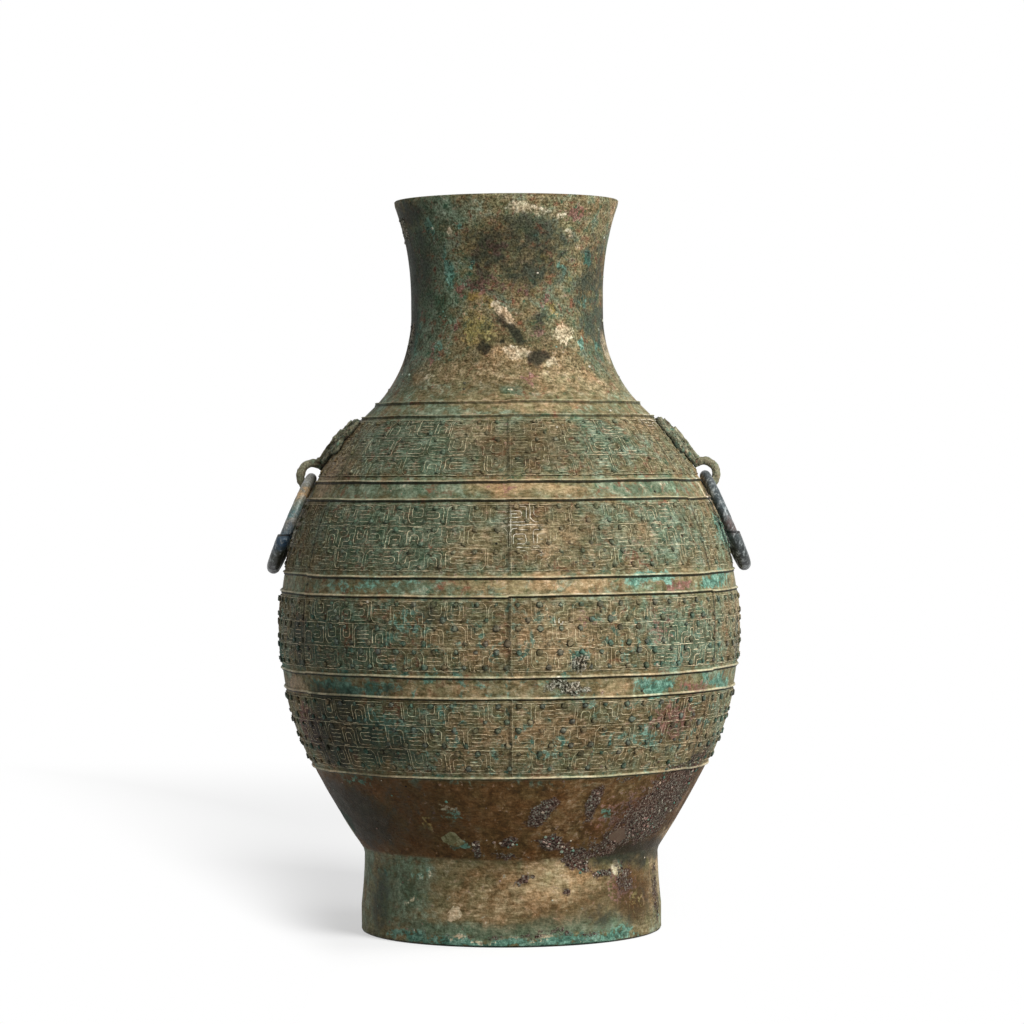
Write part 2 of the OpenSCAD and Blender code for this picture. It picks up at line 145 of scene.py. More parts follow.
# Patches of patina on the front by kind, seen flat on the axis from an eye at this height and distance:
# mm across the front, height, half width, half height, strength and, where it leans, its tilt in degrees
EYE_HEIGHT, EYE_AWAY = 231.5, 1771.0
FRONT_PATCHES = {
    "tan": (
        (26, 276, 25, 11, 0.6), (-30, 277, 17, 8, 0.45), (-4, 278, 16, 6, 0.5), (35, 340, 3, 2.5, 0.8),
        (8, 334, 7, 4, 0.6), (2, 286, 13, 6, 0.9), (-39, 278, 10, 8, 0.4), (43, 275, 9, 7, 0.6),
        (-20, 248, 17, 10, 0.4), (66, 252, 15, 7, 0.45), (26, 249, 10, 7, 0.35), (6, 262, 35, 4, 0.5),
        (9, 220, 32, 4, 0.95), (-19, 192, 18, 10, 0.5), (21, 196, 22, 16, 0.6), (20, 194, 17, 11, 0.75),
        (64, 197, 11, 10, 0.45), (12, 172, 40, 4.5, 1.2), (-19, 142, 18, 14, 0.5),
        (22, 144, 26, 20, 0.8), (-106, 123, 7, 4.5, 0.9), (-27, 119, 43, 4, 0.42),
        (52, 119, 10, 4, 0.95), (-14, 94, 30, 15, 0.4), (10, 97, 34, 14, 0.62), (91, 94, 13, 11, 0.4),
        (26, 56, 22, 18, 0.24), (46, 69, 15, 7, 0.25), (-9, 14, 30, 15, 0.5), (22, 22, 30, 12, 0.85),
    ),
    "green": (
        (-42, 314, 13, 55, 0.75), (-36, 358, 15, 9, 0.8), (44, 299, 6, 25, 0.5),
        (26, 319, 15, 15, 0.35), (6, 344, 20, 10, 0.3), (-2, 305, 5, 7, 0.3), (2, 268, 5.5, 3, 1),
        (-42, 244, 42, 18, 0.66), (46, 244, 28, 15, 0.5), (-67, 262, 8, 4, 0.6),
        (-34, 259, 15, 3.5, 0.4), (-57, 220, 36, 4.5, 0.8), (71, 220, 30, 4.5, 0.72),
        (-59, 199, 50, 21, 0.75), (76, 199, 30, 18, 0.55), (-54, 172, 30, 4, 0.6),
        (-84, 146, 30, 20, 0.7), (91, 144, 22, 19, 0.6), (-54, 96, 30, 15, 0.5), (-34, 64, 15, 6, 0.5),
        (-74, 34, 7, 15, 0.5), (-57, 19, 17, 15, 0.55), (7, 22, 7, 3.5, 0.7), (-4, -1, 70, 5, 0.9),
        (-35, 330, 9, 30, 0.6),
    ),
    "teal": (
        (-30, 330, 2.5, 12, 0.7), (-44, 299, 3, 17, 0.5), (40, 334, 2, 4.5, 1),
        (-18, 333, 3.5, 2.5, 0.8), (-23, 352, 2.5, 2.5, 0.7), (37, 292, 2, 2.5, 1.1),
        (-34, 289, 3, 6, 0.5), (39, 314, 2.5, 6, 0.6), (16, 346, 3, 2, 0.6), (45, 290, 2, 5, 0.7),
        (-69, 173, 42, 4.5, 0.45), (71, 174, 17, 4, 0.75), (103, 174, 10, 4.5, 0.8),
        (-52, 155, 13, 9, 0.5), (36, 136, 5, 4.5, 0.7), (55, 139, 8, 6, 0.4), (-86, 122, 18, 4.5, 0.85),
        (73, 120, 13, 4.5, 0.85), (104, 122, 8, 4, 0.7), (-64, 102, 18, 11, 0.5), (19, 88, 5, 7, 0.5),
        (66, 94, 11, 9, 0.4), (-28, 58, 7, 4, 0.4, -30), (-23, 41, 5, 3.5, 0.7), (47, 56, 3, 3, 0.8),
        (-74, 74, 8, 3, 0.6), (-66, 29, 8, 3, 0.5), (-44, 26, 7, 4, 0.45), (54, 30, 4, 4, 0.6),
        (46, -4, 30, 4, 0.85), (-49, -4, 25, 4, 0.75), (1, -8, 60, 3.2, 0.95), (-70, 122, 22, 3.5, 0.6),
        (-40, 351, 3, 8, 0.55), (28, 330, 3, 3, 0.8),
    ),
    # pale patina; where it is strong it also turns the worn crests in it into a painted highlight glint,
    # and the patches at 8 across, 200 high and 4 across, 197 high are there mainly for that painted glint
    "pale": (
        (-29, 348, 3, 3, 1), (8, 360, 11, 2, 0.95, -4), (12, 358, 13, 3.5, 0.6, -8),
        (35, 340, 2.5, 2, 0.6), (-3, 306, 9.5, 3, 1.1, -40), (29, 296, 5, 7, 0.9, -50),
        (4, 288, 10, 4, 0.85, -8), (22, 280, 4, 4, 0.7), (2, 268, 4, 2, 0.45), (-37, 277, 9, 7, 0.3),
        (49, 272, 7, 4, 0.35), (26, 356, 7, 2.5, 0.5, -10), (71, 254, 11, 5, 0.35),
        (26, 171, 23, 3, 0.35), (24, 154, 2.5, 2.5, 1.1), (26, 120, 11, 3.5, 0.4),
        (-31, 62, 7, 2.5, 0.45, -20), (71, 70, 10, 5, 0.45, 20), (-44, 25, 8, 4, 0.35),
        (24, 26, 13, 5, 0.2), (52, 29, 4.5, 4.5, 0.8), (-28, 7, 4.5, 3.5, 0.8), (-28, 11, 3, 2, 0.7),
        (-51, 14, 3, 2, 0.7), (-4, -6, 55, 2.2, 0.5), (8, 200, 13, 15, 0.36), (4, 197, 5, 10, 0.46),
        (-57, 220, 30, 3.5, 0.22), (-60, 172, 30, 3.5, 0.2), (71, 220, 26, 3.5, 0.22),
        (-62, 240, 24, 14, 0.18), (30, 347, 3, 2, 0.7),
    ),
    "red": (
        (36, 356, 6, 5, 0.7), (-14, 322, 13, 6.5, 0.6), (9, 274, 6, 4.5, 0.5), (-25, 319, 3, 3, 0.95),
        (-26, 299, 3.5, 2.5, 0.75), (-38, 286, 2.5, 5, 0.6), (20, 314, 7, 5, 0.45),
        (6, 319, 6, 4, 0.45), (-4, 220, 11, 2.5, 0.4), (66, 194, 6, 5, 0.3), (84, 172, 13, 3.5, 0.75),
        (37, 153, 8, 5, 0.45), (76, 150, 7, 7, 0.5), (31, 119, 10, 3, 0.5), (91, 120, 12, 4, 0.6),
        (-100, 104, 6, 10, 0.9), (81, 104, 15, 10, 0.6), (70, 61, 24, 20, 0.8, 20),
        (50, 45, 13, 7, 0.6), (16, 58, 8.5, 3.5, 0.6, 48), (18, 43, 7, 2.5, 0.8, -16),
        (56, 22, 9, 12, 0.62, 10), (-97, 101, 6, 14, 0.95), (-4, 340, 8, 4, 0.5),
        (14, 300, 7, 5, 0.5, 20),
    ),
    # dark patina; the patches down the left side and low on the wall also stand for painted shade
    "dark": (
        (-53, 322, 7, 50, 0.9), (-38, 338, 9, 22, 0.4), (6, 336, 38, 26, 0.64),
        (-50, 356, 7.5, 10, 0.7), (13, 348, 22, 11, 0.35), (-17, 339, 15, 15, 0.3),
        (44, 316, 11, 46, 0.58), (2, 298, 13, 3, 1, -41), (16, 305, 10, 6.5, 0.55),
        (-12, 288, 4, 3.5, 1.2), (-3, 292, 2, 1.5, 1.1), (15, 283, 5, 5, 1.1), (11, 233, 11, 8, 0.4),
        (-82, 194, 15, 17, 0.35), (42, 192, 4.5, 5, 0.4), (-94, 146, 13, 20, 0.45),
        (-39, 158, 13, 5, 0.5), (2, 139, 3, 6, 0.6), (-104, 144, 7, 20, 0.6), (-86, 120, 18, 2.5, 0.5),
        (-89, 96, 15, 19, 0.9), (-62, 92, 24, 14, 0.58), (96, 92, 9, 11, 0.4), (-44, 56, 36, 24, 0.42),
        (-4, 72, 24, 6, 0.25), (-79, 59, 20, 22, 0.9), (66, 39, 30, 8, 0.8), (60, 44, 20, 5, 0.45),
        (-66, 14, 7, 22, 0.55), (46, 6, 10, 7, 0.5), (62, 12, 13, 16, 0.5), (-86, 104, 20, 30, 0.68),
        (-46, 332, 10, 34, 0.6), (-72, 121, 26, 5, 0.5), (-74, 98, 22, 17, 0.5),
        (-88, 146, 16, 18, 0.35), (-70, 76, 22, 10, 0.4), (20, 340, 9, 5, 0.5, 10),
        (-6, 325, 8, 5, 0.45, -20),
    ),
    "crust": (
        (-52, 292, 3, 13, 0.75), (35, 132, 5, 4.5, 1), (29, 119, 12, 3.5, 1.1),
        (72, 62, 24, 20, 0.82, 30), (60, 48, 24, 9, 0.8, 8), (48, 40, 13, 3.5, 0.75),
        (84, 78, 18, 9, 0.68, 20), (16, 58, 12, 6, 1.2, 48), (0, 44, 6, 4, 1.15, 20),
        (20, 42, 11, 4, 1.15, -16), (40, 62, 5, 10, 1, -10), (33, 37, 10, 3.5, 1, -10),
        (-17, 38, 3.5, 6, 0.95), (-4, 35, 12, 1.5, 0.7), (56, 73, 8, 3, 0.5),
        (34, 30, 9, 4.5, 1.1, -20), (45, 26, 5, 3, 1, -20), (7, 23, 7, 3, 0.9, 10),
        (29, 19, 3.5, 2, 1, -20), (57, 24, 7, 10, 0.66), (6, -4, 65, 2, 0.5), (72, 19, 2.5, 20, 0.6),
        (113, 144, 2.5, 18, 0.6),
    ),
    "ochre": (
        (18, 333, 6, 2.5, 0.9, -30), (32, 326, 2.5, 3, 0.8), (-18, 316, 3.5, 4.5, 1.1, -35),
        (-10, 312, 5, 2.5, 0.9, -40), (-15, 298, 11, 11, 0.62), (26, 221, 8, 2.5, 0.3),
        (-19, 40, 7, 3, 0.5), (-39, 53, 4, 7, 0.5), (62, 14, 7, 8, 0.35), (24, 309, 5, 2.5, 0.8, -35),
    ),
    "brown": (
        (62, 19, 15, 20, 0.85), (14, 18, 62, 24, 0.7), (-20, 22, 24, 12, 0.45), (6, 145, 40, 22, 0.42),
        (26, 98, 46, 18, 0.48), (18, 200, 42, 22, 0.34), (4, 286, 36, 26, 0.48),
        (-4, 346, 26, 14, 0.42), (84, 104, 26, 16, 0.55), (4, 242, 40, 14, 0.5),
        (-2, 212, 40, 18, 0.25), (-14, 140, 20, 16, 0.35), (8, 92, 36, 16, 0.4),
    ),
}
KINDS = ("tan", "green", "teal", "pale", "red", "dark", "crust", "ochre", "brown", "plain")
PAINTED = {"worn_and_green": KINDS[:4], "red_and_dark": KINDS[4:8], "brown_and_plain": KINDS[8:]}
PATCHES_ROUND_THE_BACK = 170
KINDS_ROUND_THE_BACK = ("tan", "green", "teal", "tan", "red", "dark", "crust", "green", "ochre", "pale")


def all_patches():
    """The front's patches as bearings and heights, and seeded ones for the sides and the back."""
    patches = []
    front = [(kind, *row) for kind, rows in FRONT_PATCHES.items() for row in rows]
    for kind, across, height, half_w, half_h, strength, *tilt in front:
        r = float(wall_at(np.array([max(0.0, height)]))[0][0])
        azimuth = math.asin(max(-0.98, min(0.98, across / r)))
        nearer = 1 - r * math.cos(azimuth) / EYE_AWAY
        height = EYE_HEIGHT + (height - EYE_HEIGHT) * nearer
        azimuth = math.asin(max(-0.98, min(0.98, across * nearer / r)))
        half_w = half_w / max(0.35, math.cos(azimuth))
        patches.append((kind, azimuth, height, half_w, half_h, tilt[0] if tilt else 0, strength))
    dice = np.random.default_rng(PATCH_SEED)
    for number in range(PATCHES_ROUND_THE_BACK):
        kind = KINDS_ROUND_THE_BACK[number % len(KINDS_ROUND_THE_BACK)]
        azimuth = math.radians(dice.uniform(72, 288))
        height = dice.uniform(2, 362)
        long, tall = dice.uniform(3, 26), dice.uniform(3, 16)
        if kind in ("crust", "pale", "ochre", "red"):
            long, tall = 0.5 * long, 0.6 * tall
        patches.append((kind, azimuth, height, long, tall, dice.uniform(-40, 40),
                        dice.uniform(0.45, 1.0)))
    return patches


PATCHES = all_patches()


def patina_at(points):
    """Strength of each kind of patina at points in mm."""
    ragged = points + 5.0 * np.stack([cloud(points, 11.0, 60 + i, 3) for i in range(3)], -1)
    azimuth = np.arctan2(ragged[:, 0], -ragged[:, 1])
    r = np.hypot(ragged[:, 0], ragged[:, 1])
    fields = {kind: np.zeros(len(points)) for kind in KINDS}
    for kind, a, height, half_w, half_h, tilt, strength in PATCHES:
        turn = (azimuth - a + math.pi) % (2 * math.pi) - math.pi
        across, up = turn * r, ragged[:, 2] - height
        c, s = math.cos(math.radians(tilt)), math.sin(math.radians(tilt))
        reach = np.hypot((across * c + up * s) / half_w, (up * c - across * s) / half_h)
        fields[kind] = np.maximum(fields[kind], strength * (1.0 - smooth(0.35, 1.25, reach)))
    lower_wall = smooth(41.2, 42.6, points[:, 2]) * (1.0 - smooth(81.0, 83.4, points[:, 2]))
    fields["brown"] = np.maximum(fields["brown"], 0.95 * lower_wall)
    fields["plain"] = 0.85 * (1.0 - band_height(points[:, 2])) * (1.0 - smooth(262, 270, points[:, 2]))
    return fields


def move_to(mesh, points):
    """Moves a mesh's vertices to new places."""
    mesh.vertices.foreach_set("co", points.astype(np.float32).ravel())
    mesh.update()


def keep_within(mesh, reach):
    """Brings the points that stand further than a reach from the axis back to it."""
    points = vertices_of(mesh)
    away = np.hypot(points[:, 0], points[:, 1])
    points[:, :2] *= np.minimum(1.0, reach / np.maximum(away, 1e-6))[:, None]
    move_to(mesh, points)


def paint(mesh):
    """Stores the patina at a mesh's vertices as colour attributes."""
    points = vertices_of(mesh) / MM
    fields = patina_at(points)
    nothing = [np.zeros(len(points))]
    for name, kinds in PAINTED.items():
        attribute = mesh.attributes.new(name, "FLOAT_COLOR", "POINT")
        values = np.stack(([fields[kind] for kind in kinds] + 2 * nothing)[:4], -1)
        attribute.data.foreach_set("color", values.astype(np.float32).ravel())


def store(mesh, name, values):
    """Stores one number for each vertex under a name."""
    attribute = mesh.attributes.get(name) or mesh.attributes.new(name, "FLOAT", "POINT")
    attribute.data.foreach_set("value", np.asarray(values, np.float32))


def vertices_of(mesh):
    """A mesh's vertices as rows of three."""
    flat = np.empty(len(mesh.vertices) * 3, np.float32)
    mesh.vertices.foreach_get("co", flat)
    return flat.reshape(-1, 3).astype(float)


def normals_of(mesh):
    """A mesh's vertex normals as rows of three."""
    flat = np.empty(len(mesh.vertices) * 3, np.float32)
    mesh.vertex_normals.foreach_get("vector", flat)
    return flat.reshape(-1, 3).astype(float)


def linked(name, data):
    """A new object in the scene."""
    holder = bpy.data.objects.new(name, data)
    bpy.context.scene.collection.objects.link(holder)
    return holder


def evaluated(holder):
    """The mesh that an object's modifiers make; the object itself is taken away."""
    view = bpy.context.evaluated_depsgraph_get()
    mesh = bpy.data.meshes.new_from_object(holder.evaluated_get(view), preserve_all_data_layers=True,
                                           depsgraph=view)
    holder.modifiers.clear()
    bpy.data.objects.remove(holder)
    return mesh


def piece_from(name, mesh, material, body, node=None):
    """Makes a smooth-shaded piece of a mesh that is already in its place."""
    piece = linked(name, mesh)
    mesh.polygons.foreach_set("use_smooth", [True] * len(mesh.polygons))
    mesh.materials.clear()
    mesh.materials.append(material)
    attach(piece, body)
    if node:
        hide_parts(node)
    return piece


def faces_outwards(mesh):
    """Turns every closed shell of a mesh so that its faces point outwards."""
    work = bmesh.new()
    work.from_mesh(mesh)
    bmesh.ops.recalc_face_normals(work, faces=work.faces)
    work.to_mesh(mesh)
    work.free()


class Bench:
    """Adds nodes to one tree and joins them."""

    def __init__(self, tree):
        self.tree = tree

    def add(self, kind, inputs=None, **settings):
        node = self.tree.nodes.new(kind)
        for key, value in settings.items():
            setattr(node, key, value)
        for key, value in (inputs or {}).items():
            self.join(value, node.inputs[key])
        return node

    def join(self, value, socket):
        if isinstance(value, bpy.types.NodeSocket):
            self.tree.links.new(value, socket)
        elif isinstance(value, bpy.types.Node):
            self.tree.links.new(value.outputs[0], socket)
        else:
            socket.default_value = value

    def maths(self, operation, *values):
        return self.add("ShaderNodeMath", dict(enumerate(values)), operation=operation).outputs[0]

    def plus(self, first, second):
        return self.maths("ADD", first, second)

    def times(self, first, second):
        return self.maths("MULTIPLY", first, second)

    def scaled(self, value, factor, added):
        """A value times a factor, with something added."""
        return self.maths("MULTIPLY_ADD", value, factor, added)

    def step(self, value, low, high):
        """Eased step from 0 to 1, or from 1 to 0 where the second edge lies below the first."""
        node = self.add("ShaderNodeMapRange", {0: value, 1: low, 2: high},
                        interpolation_type="SMOOTHSTEP")
        return node.outputs[0]

    def levels(self, value, low, high, first=0.0, last=1.0):
        """Straight line from one level to another, held beyond its ends."""
        return self.add("ShaderNodeMapRange", {0: value, 1: low, 2: high, 3: first, 4: last}).outputs[0]


class Finish(Bench):
    """A material's tree, with the pieces of a patina."""

    def __init__(self, name):
        self.material = bpy.data.materials.new(name)
        self.material.use_nodes = True
        super().__init__(self.material.node_tree)
        self.shader = self.tree.nodes["Principled BSDF"]
        self.place = self.add("ShaderNodeTexCoord").outputs["Object"]

    def noise(self, size_mm, detail=3.0, rough=0.6, warp=0.0, stretch=None):
        """Noise from 0 to 1 with lumps of a size in mm."""
        place = self.place
        if stretch:
            place = self.add("ShaderNodeMapping", {0: place, 3: stretch}).outputs[0]
        node = self.add("ShaderNodeTexNoise", {0: place, "Scale": 1.0 / (size_mm * MM), "Detail": detail,
                                               "Roughness": rough, "Distortion": warp})
        return self.levels(node.outputs[0], 0.3, 0.7)

    def ramp(self, value, *stops):
        """Colours from stops, each a place with its red, green and blue."""
        node = self.add("ShaderNodeValToRGB", {0: value})
        marks = node.color_ramp.elements
        while len(marks) < len(stops):
            marks.new(0.5)
        for mark, (place, *colour) in zip(marks, stops):
            mark.position = place
            mark.color = (*colour, 1.0)
        return node.outputs[0]

    def mix(self, share, first, second, blend="MIX"):
        node = self.add("ShaderNodeMix", {0: share, 6: first, 7: second}, data_type="RGBA",
                        blend_type=blend)
        return node.outputs[2]

    def blend(self, share, first, second):
        return self.add("ShaderNodeMix", {0: share, 2: first, 3: second}).outputs[0]

    def attribute(self, name):
        return self.add("ShaderNodeAttribute", attribute_name=name).outputs

    def sides(self):
        """How far a place lies to the right, to the back and up, in metres."""
        return self.add("ShaderNodeSeparateXYZ", {0: self.place}).outputs

    def surface(self, name, value):
        """Sets or joins one input of the shader."""
        self.join(value, self.shader.inputs[name])

    def bumps(self, strength, depth_mm, height):
        self.surface("Normal", self.add("ShaderNodeBump", {"Strength": strength,
                                                           "Distance": depth_mm * MM, "Height": height}))

    def cover(self, strength, noise, ragged=0.9, soft=0.14):
        """Share of a layer, ragged along its edge, for a strength from 0 to 1."""
        height = self.scaled(noise, ragged, -0.5 * ragged)
        return self.step(self.plus(strength, height), 0.5 - soft, 0.5 + soft)


# Colours of stains and wear, each with a 1 for opaque: dark patina that is also a painted shade on the
# left side and the lower wall, grime together with painted shade under and beside raised parts, a worn
# crest colour that stands partly for a painted highlight, and a painted highlight glint
RUST, MOSS, DARK_PATINA_AND_SHADE = (0.150, 0.074, 0.046, 1), (0.040, 0.082, 0.048, 1), (0.014, 0.015, 0.010, 1)
DIRT_AND_SHADE, WORN_CREST_AND_HIGHLIGHT, GLINT = (0.008, 0.008, 0.005, 1), (0.62, 0.54, 0.36, 1), (0.92, 0.88, 0.78, 1)
# Heights in metres between which the crust turns red, the lower bands turn teal and the neck begins
REDDER_CRUST, LOWER_BANDS, NECK_BEGINS = (0.112, 0.100), (0.215, 0.135), (0.262, 0.285)


def patina_strengths(finish):
    """Sockets with the painted strength of each kind of patina."""
    sockets = {}
    for name, kinds in PAINTED.items():
        attribute = finish.attribute(name)
        parts = finish.add("ShaderNodeSeparateColor", {0: attribute["Color"]})
        for kind, socket in zip(kinds, [*parts.outputs, attribute["Alpha"]]):
            sockets[kind] = socket
    return sockets


def bronze_patina():
    """Cast bronze under olive, green and tan patina, with the painted patches laid over it in turn."""
    finish = Finish("bronze_patina")
    noise, ramp, mix, blend, cover = finish.noise, finish.ramp, finish.mix, finish.blend, finish.cover
    plus, times, scaled, step = finish.plus, finish.times, finish.scaled, finish.step
    painted = patina_strengths(finish)
    relief = finish.attribute("relief")["Fac"]
    height = finish.sides()[2]
    low = step(height, *LOWER_BANDS)
    broad = noise(34.0, 3.0)
    medium = noise(9.0, 5.0, 0.65, 0.6)
    small = noise(3.0, 5.0, 0.70, 0.4)
    speck = noise(1.0, 3.0, 0.65)
    drawn = noise(3.6, 4.0, 0.65, 0.0, (0.6, 0.6, 2.2))
    mottle = blend(0.55, drawn, small)
    greens = blend(0.45, medium, small)
    olive = ramp(mottle, (0.14, 0.042, 0.034, 0.014), (0.38, 0.118, 0.099, 0.050),
                 (0.60, 0.195, 0.163, 0.090), (0.84, 0.330, 0.282, 0.178))
    green = ramp(greens, (0.14, 0.024, 0.036, 0.019), (0.38, 0.078, 0.098, 0.060),
                 (0.60, 0.142, 0.178, 0.118), (0.84, 0.270, 0.325, 0.235))
    tan = ramp(mottle, (0.14, 0.115, 0.080, 0.038), (0.38, 0.220, 0.162, 0.086),
               (0.60, 0.305, 0.230, 0.132), (0.84, 0.440, 0.345, 0.220))
    brown = ramp(greens, (0.10, 0.020, 0.010, 0.004), (0.40, 0.066, 0.036, 0.014),
                 (0.65, 0.118, 0.068, 0.030), (0.92, 0.230, 0.155, 0.090))
    teal = ramp(small, (0.12, 0.024, 0.056, 0.042), (0.45, 0.072, 0.142, 0.105),
                (0.90, 0.220, 0.360, 0.280))
    pale = ramp(small, (0.10, 0.230, 0.180, 0.110), (0.50, 0.400, 0.330, 0.215),
                (0.90, 0.640, 0.560, 0.410))
    red = ramp(small, (0.10, 0.050, 0.021, 0.014), (0.50, 0.135, 0.070, 0.052),
               (0.90, 0.270, 0.165, 0.130))
    ochre = ramp(small, (0.10, 0.085, 0.062, 0.018), (0.60, 0.215, 0.170, 0.068),
                 (0.95, 0.330, 0.275, 0.140))
    crust = ramp(speck, (0.15, 0.016, 0.012, 0.009), (0.42, 0.070, 0.044, 0.034),
                 (0.62, 0.140, 0.095, 0.076), (0.78, 0.120, 0.150, 0.112), (0.92, 0.320, 0.270, 0.220))
    grey_crust = ramp(speck, (0.25, 0.020, 0.019, 0.013), (0.44, 0.100, 0.095, 0.065),
                      (0.58, 0.230, 0.220, 0.165), (0.75, 0.480, 0.460, 0.370))
    crust = mix(step(height, *REDDER_CRUST), grey_crust, crust)
    fleck = finish.attribute("fleck")["Fac"]
    lump = ramp(fleck, (0.08, 0.010, 0.007, 0.006), (0.22, 0.060, 0.026, 0.022),
                (0.42, 0.200, 0.108, 0.092), (0.60, 0.360, 0.245, 0.205), (0.75, 0.470, 0.400, 0.310),
                (0.88, 0.120, 0.250, 0.190), (1.00, 0.050, 0.070, 0.055))
    stone = ramp(fleck, (0.10, 0.018, 0.016, 0.011), (0.35, 0.090, 0.082, 0.058),
                 (0.60, 0.250, 0.235, 0.180), (0.78, 0.500, 0.470, 0.380), (0.95, 0.120, 0.230, 0.175))
    reddish = scaled(step(painted["red"], 0.10, 0.35), 0.45, 0.55)
    lump = mix(times(step(height, *REDDER_CRUST), reddish), stone, lump)
    tint = finish.attribute("tint")["Fac"]
    boss = ramp(tint, (0.10, 0.030, 0.075, 0.056), (0.35, 0.070, 0.120, 0.096),
                (0.55, 0.080, 0.090, 0.082), (0.75, 0.042, 0.040, 0.022), (1.00, 0.220, 0.185, 0.115))
    lean = plus(blend(0.4, medium, small), times(broad, 0.25))
    lean = scaled(painted["green"], 0.75, lean)
    lean = scaled(painted["tan"], -0.60, lean)
    colour = mix(step(lean, 0.48, 1.05), olive, green)
    freckle = noise(5.0, 5.0, 0.75, 0.8)
    stir = scaled(step(noise(28.0, 2.0), 0.25, 0.80), 0.75, 0.25)
    stir = times(stir, scaled(step(height, 0.036, 0.046), 0.8, 0.2))
    on_neck = step(height, *NECK_BEGINS)
    stir = finish.maths("MAXIMUM", stir, times(on_neck, 0.95))
    rusty = times(cover(0.28, freckle, 0.9), stir)
    colour = mix(rusty, colour, RUST)
    mossy = cover(0.25, finish.maths("SUBTRACT", 1.0, freckle), 0.9)
    colour = mix(times(mossy, stir), colour, MOSS)
    cover_tan = cover(painted["tan"], mottle, 0.7, 0.42)
    cover_red = cover(painted["red"], small, 1.3, 0.14)
    cover_crust = cover(painted["crust"], small, 1.0)
    hollow = finish.maths("MINIMUM", relief, 0.0)
    on_top = scaled(hollow, 0.7, painted["pale"])
    cover_pale = cover(on_top, greens, 1.2, 0.12)
    cover_teal = cover(painted["teal"], blend(0.6, medium, small), 1.3, 0.14)
    colour = mix(cover(painted["brown"], greens, 0.5, 0.40), colour, brown)
    colour = mix(cover_tan, colour, tan)
    bloom = cover(0.26, noise(7.0, 5.0, 0.72, 0.5), 1.0)
    bloom = times(bloom, times(low, step(height, 0.076, 0.086)))
    colour = mix(bloom, colour, teal)
    colour = mix(cover(painted["ochre"], small, 1.2, 0.2), colour, ochre)
    colour = mix(cover_red, colour, red)
    colour = mix(cover_teal, colour, teal)
    colour = mix(cover_pale, colour, pale)
    # Dark patina, which on the left side and the lower wall is also a painted shade
    shade = cover(painted["dark"], blend(0.4, medium, small), 1.0, 0.30)
    colour = mix(times(shade, 0.85), colour, DARK_PATINA_AND_SHADE)
    colour = mix(cover_crust, colour, crust)
    tinted = times(step(tint, 0.02, 0.05), scaled(low, 0.4, 0.3))
    colour = mix(tinted, colour, boss)
    colour = mix(step(fleck, 0.02, 0.05), colour, lump)
    uneven = scaled(step(noise(13.0, 3.0), 0.36, 0.62), 0.65, 0.62)
    worn = times(step(relief, 0.2, 0.95), uneven)
    # Painted shade together with grime, from the negative relief: the undersides of the ridges, the
    # flanks of the scroll lines, the feet of the bosses and the foot's bottom edge (a painted contact
    # shadow) go dark; grime darkens the mould seams, and the band ground and the rim's top are darker
    dirt_and_shade = step(times(relief, -1.0), 0.0, 0.9)
    colour = mix(times(dirt_and_shade, 0.9), colour, DIRT_AND_SHADE)
    # Worn crests of the scroll lines and ridges turn a pale bronze, which stands partly for a painted
    # highlight; where pale patina is painted strongly they turn near white, a painted glint
    bright = scaled(low, 0.22, scaled(painted["green"], 0.40, 0.40))
    crest = mix(bright, colour, WORN_CREST_AND_HIGHLIGHT)
    glint = times(step(painted["pale"], 0.12, 0.35), 0.65)
    crest = mix(glint, crest, GLINT)
    colour = mix(times(worn, 0.92), colour, crest)
    streak = noise(1.2, 3.0, 0.65, 0.0, (0.45, 0.45, 1.7))
    drawn_out = scaled(on_neck, -0.38, 0.58)
    grains = ramp(blend(drawn_out, speck, streak), (0.24, 0.28, 0.27, 0.24), (0.50, 1.0, 1.0, 1.0),
                  (0.76, 1.82, 1.82, 1.92))
    rub = scaled(painted["plain"], -0.34, scaled(on_neck, 0.12, 0.70))
    colour = mix(rub, colour, grains, "MULTIPLY")
    blush = ramp(noise(10.0, 4.0, 0.6, 0.4), (0.12, 0.84, 1.04, 0.98), (0.5, 1.0, 1.0, 1.0),
                 (0.88, 1.20, 0.96, 0.88))
    colour = mix(0.50, colour, blush, "MULTIPLY")
    lighter = times(painted["plain"], step(height, 0.130, 0.160))
    value = scaled(lighter, 0.16, scaled(on_neck, -0.07, 1.0))
    colour = finish.add("ShaderNodeHueSaturation", {"Saturation": 1.06, "Color": colour,
                                                    "Value": value}).outputs[0]
    finish.surface("Base Color", colour)
    rough = blend(medium, 0.66, 0.50)
    rough = blend(cover_tan, rough, 0.46)
    rough = blend(cover_teal, rough, 0.70)
    rough = blend(cover_crust, rough, 0.80)
    rough = blend(times(worn, 0.7), rough, 0.36)
    finish.surface("Roughness", rough)
    finish.surface("Specular IOR Level", 0.07)
    finish.surface("Metallic", times(worn, 0.15))
    pitted = plus(times(small, 0.6), times(speck, 0.5))
    calm = times(pitted, scaled(painted["plain"], -0.35, 1.1))
    grain = blend(cover_crust, calm, times(speck, 2.6))
    finish.bumps(0.9, 0.4, grain)
    return finish.material


# Wall of the vessel, and its low ring of chaplets: distance from the axis, height and first bearing
WALL_COLUMNS, OUTER_ROWS = 480, 152
CHAPLETS, CHAPLET_R, CHAPLET_Z, FIRST_CHAPLET = 6, 81.5, 52.5, -20.2
# How high in mm the skin swells in slow waves, dents and crust, and how deep it lies under the CAD wall
WAVES, DENTS, CRUST_SWELL, CRUST_LUMPS, INNER_WAVES = 0.20, 0.07, 0.28, 0.35, 0.2
SUNK, SUNK_AT_CHAPLETS, SUNK_INSIDE = 0.12, 0.04, 0.05
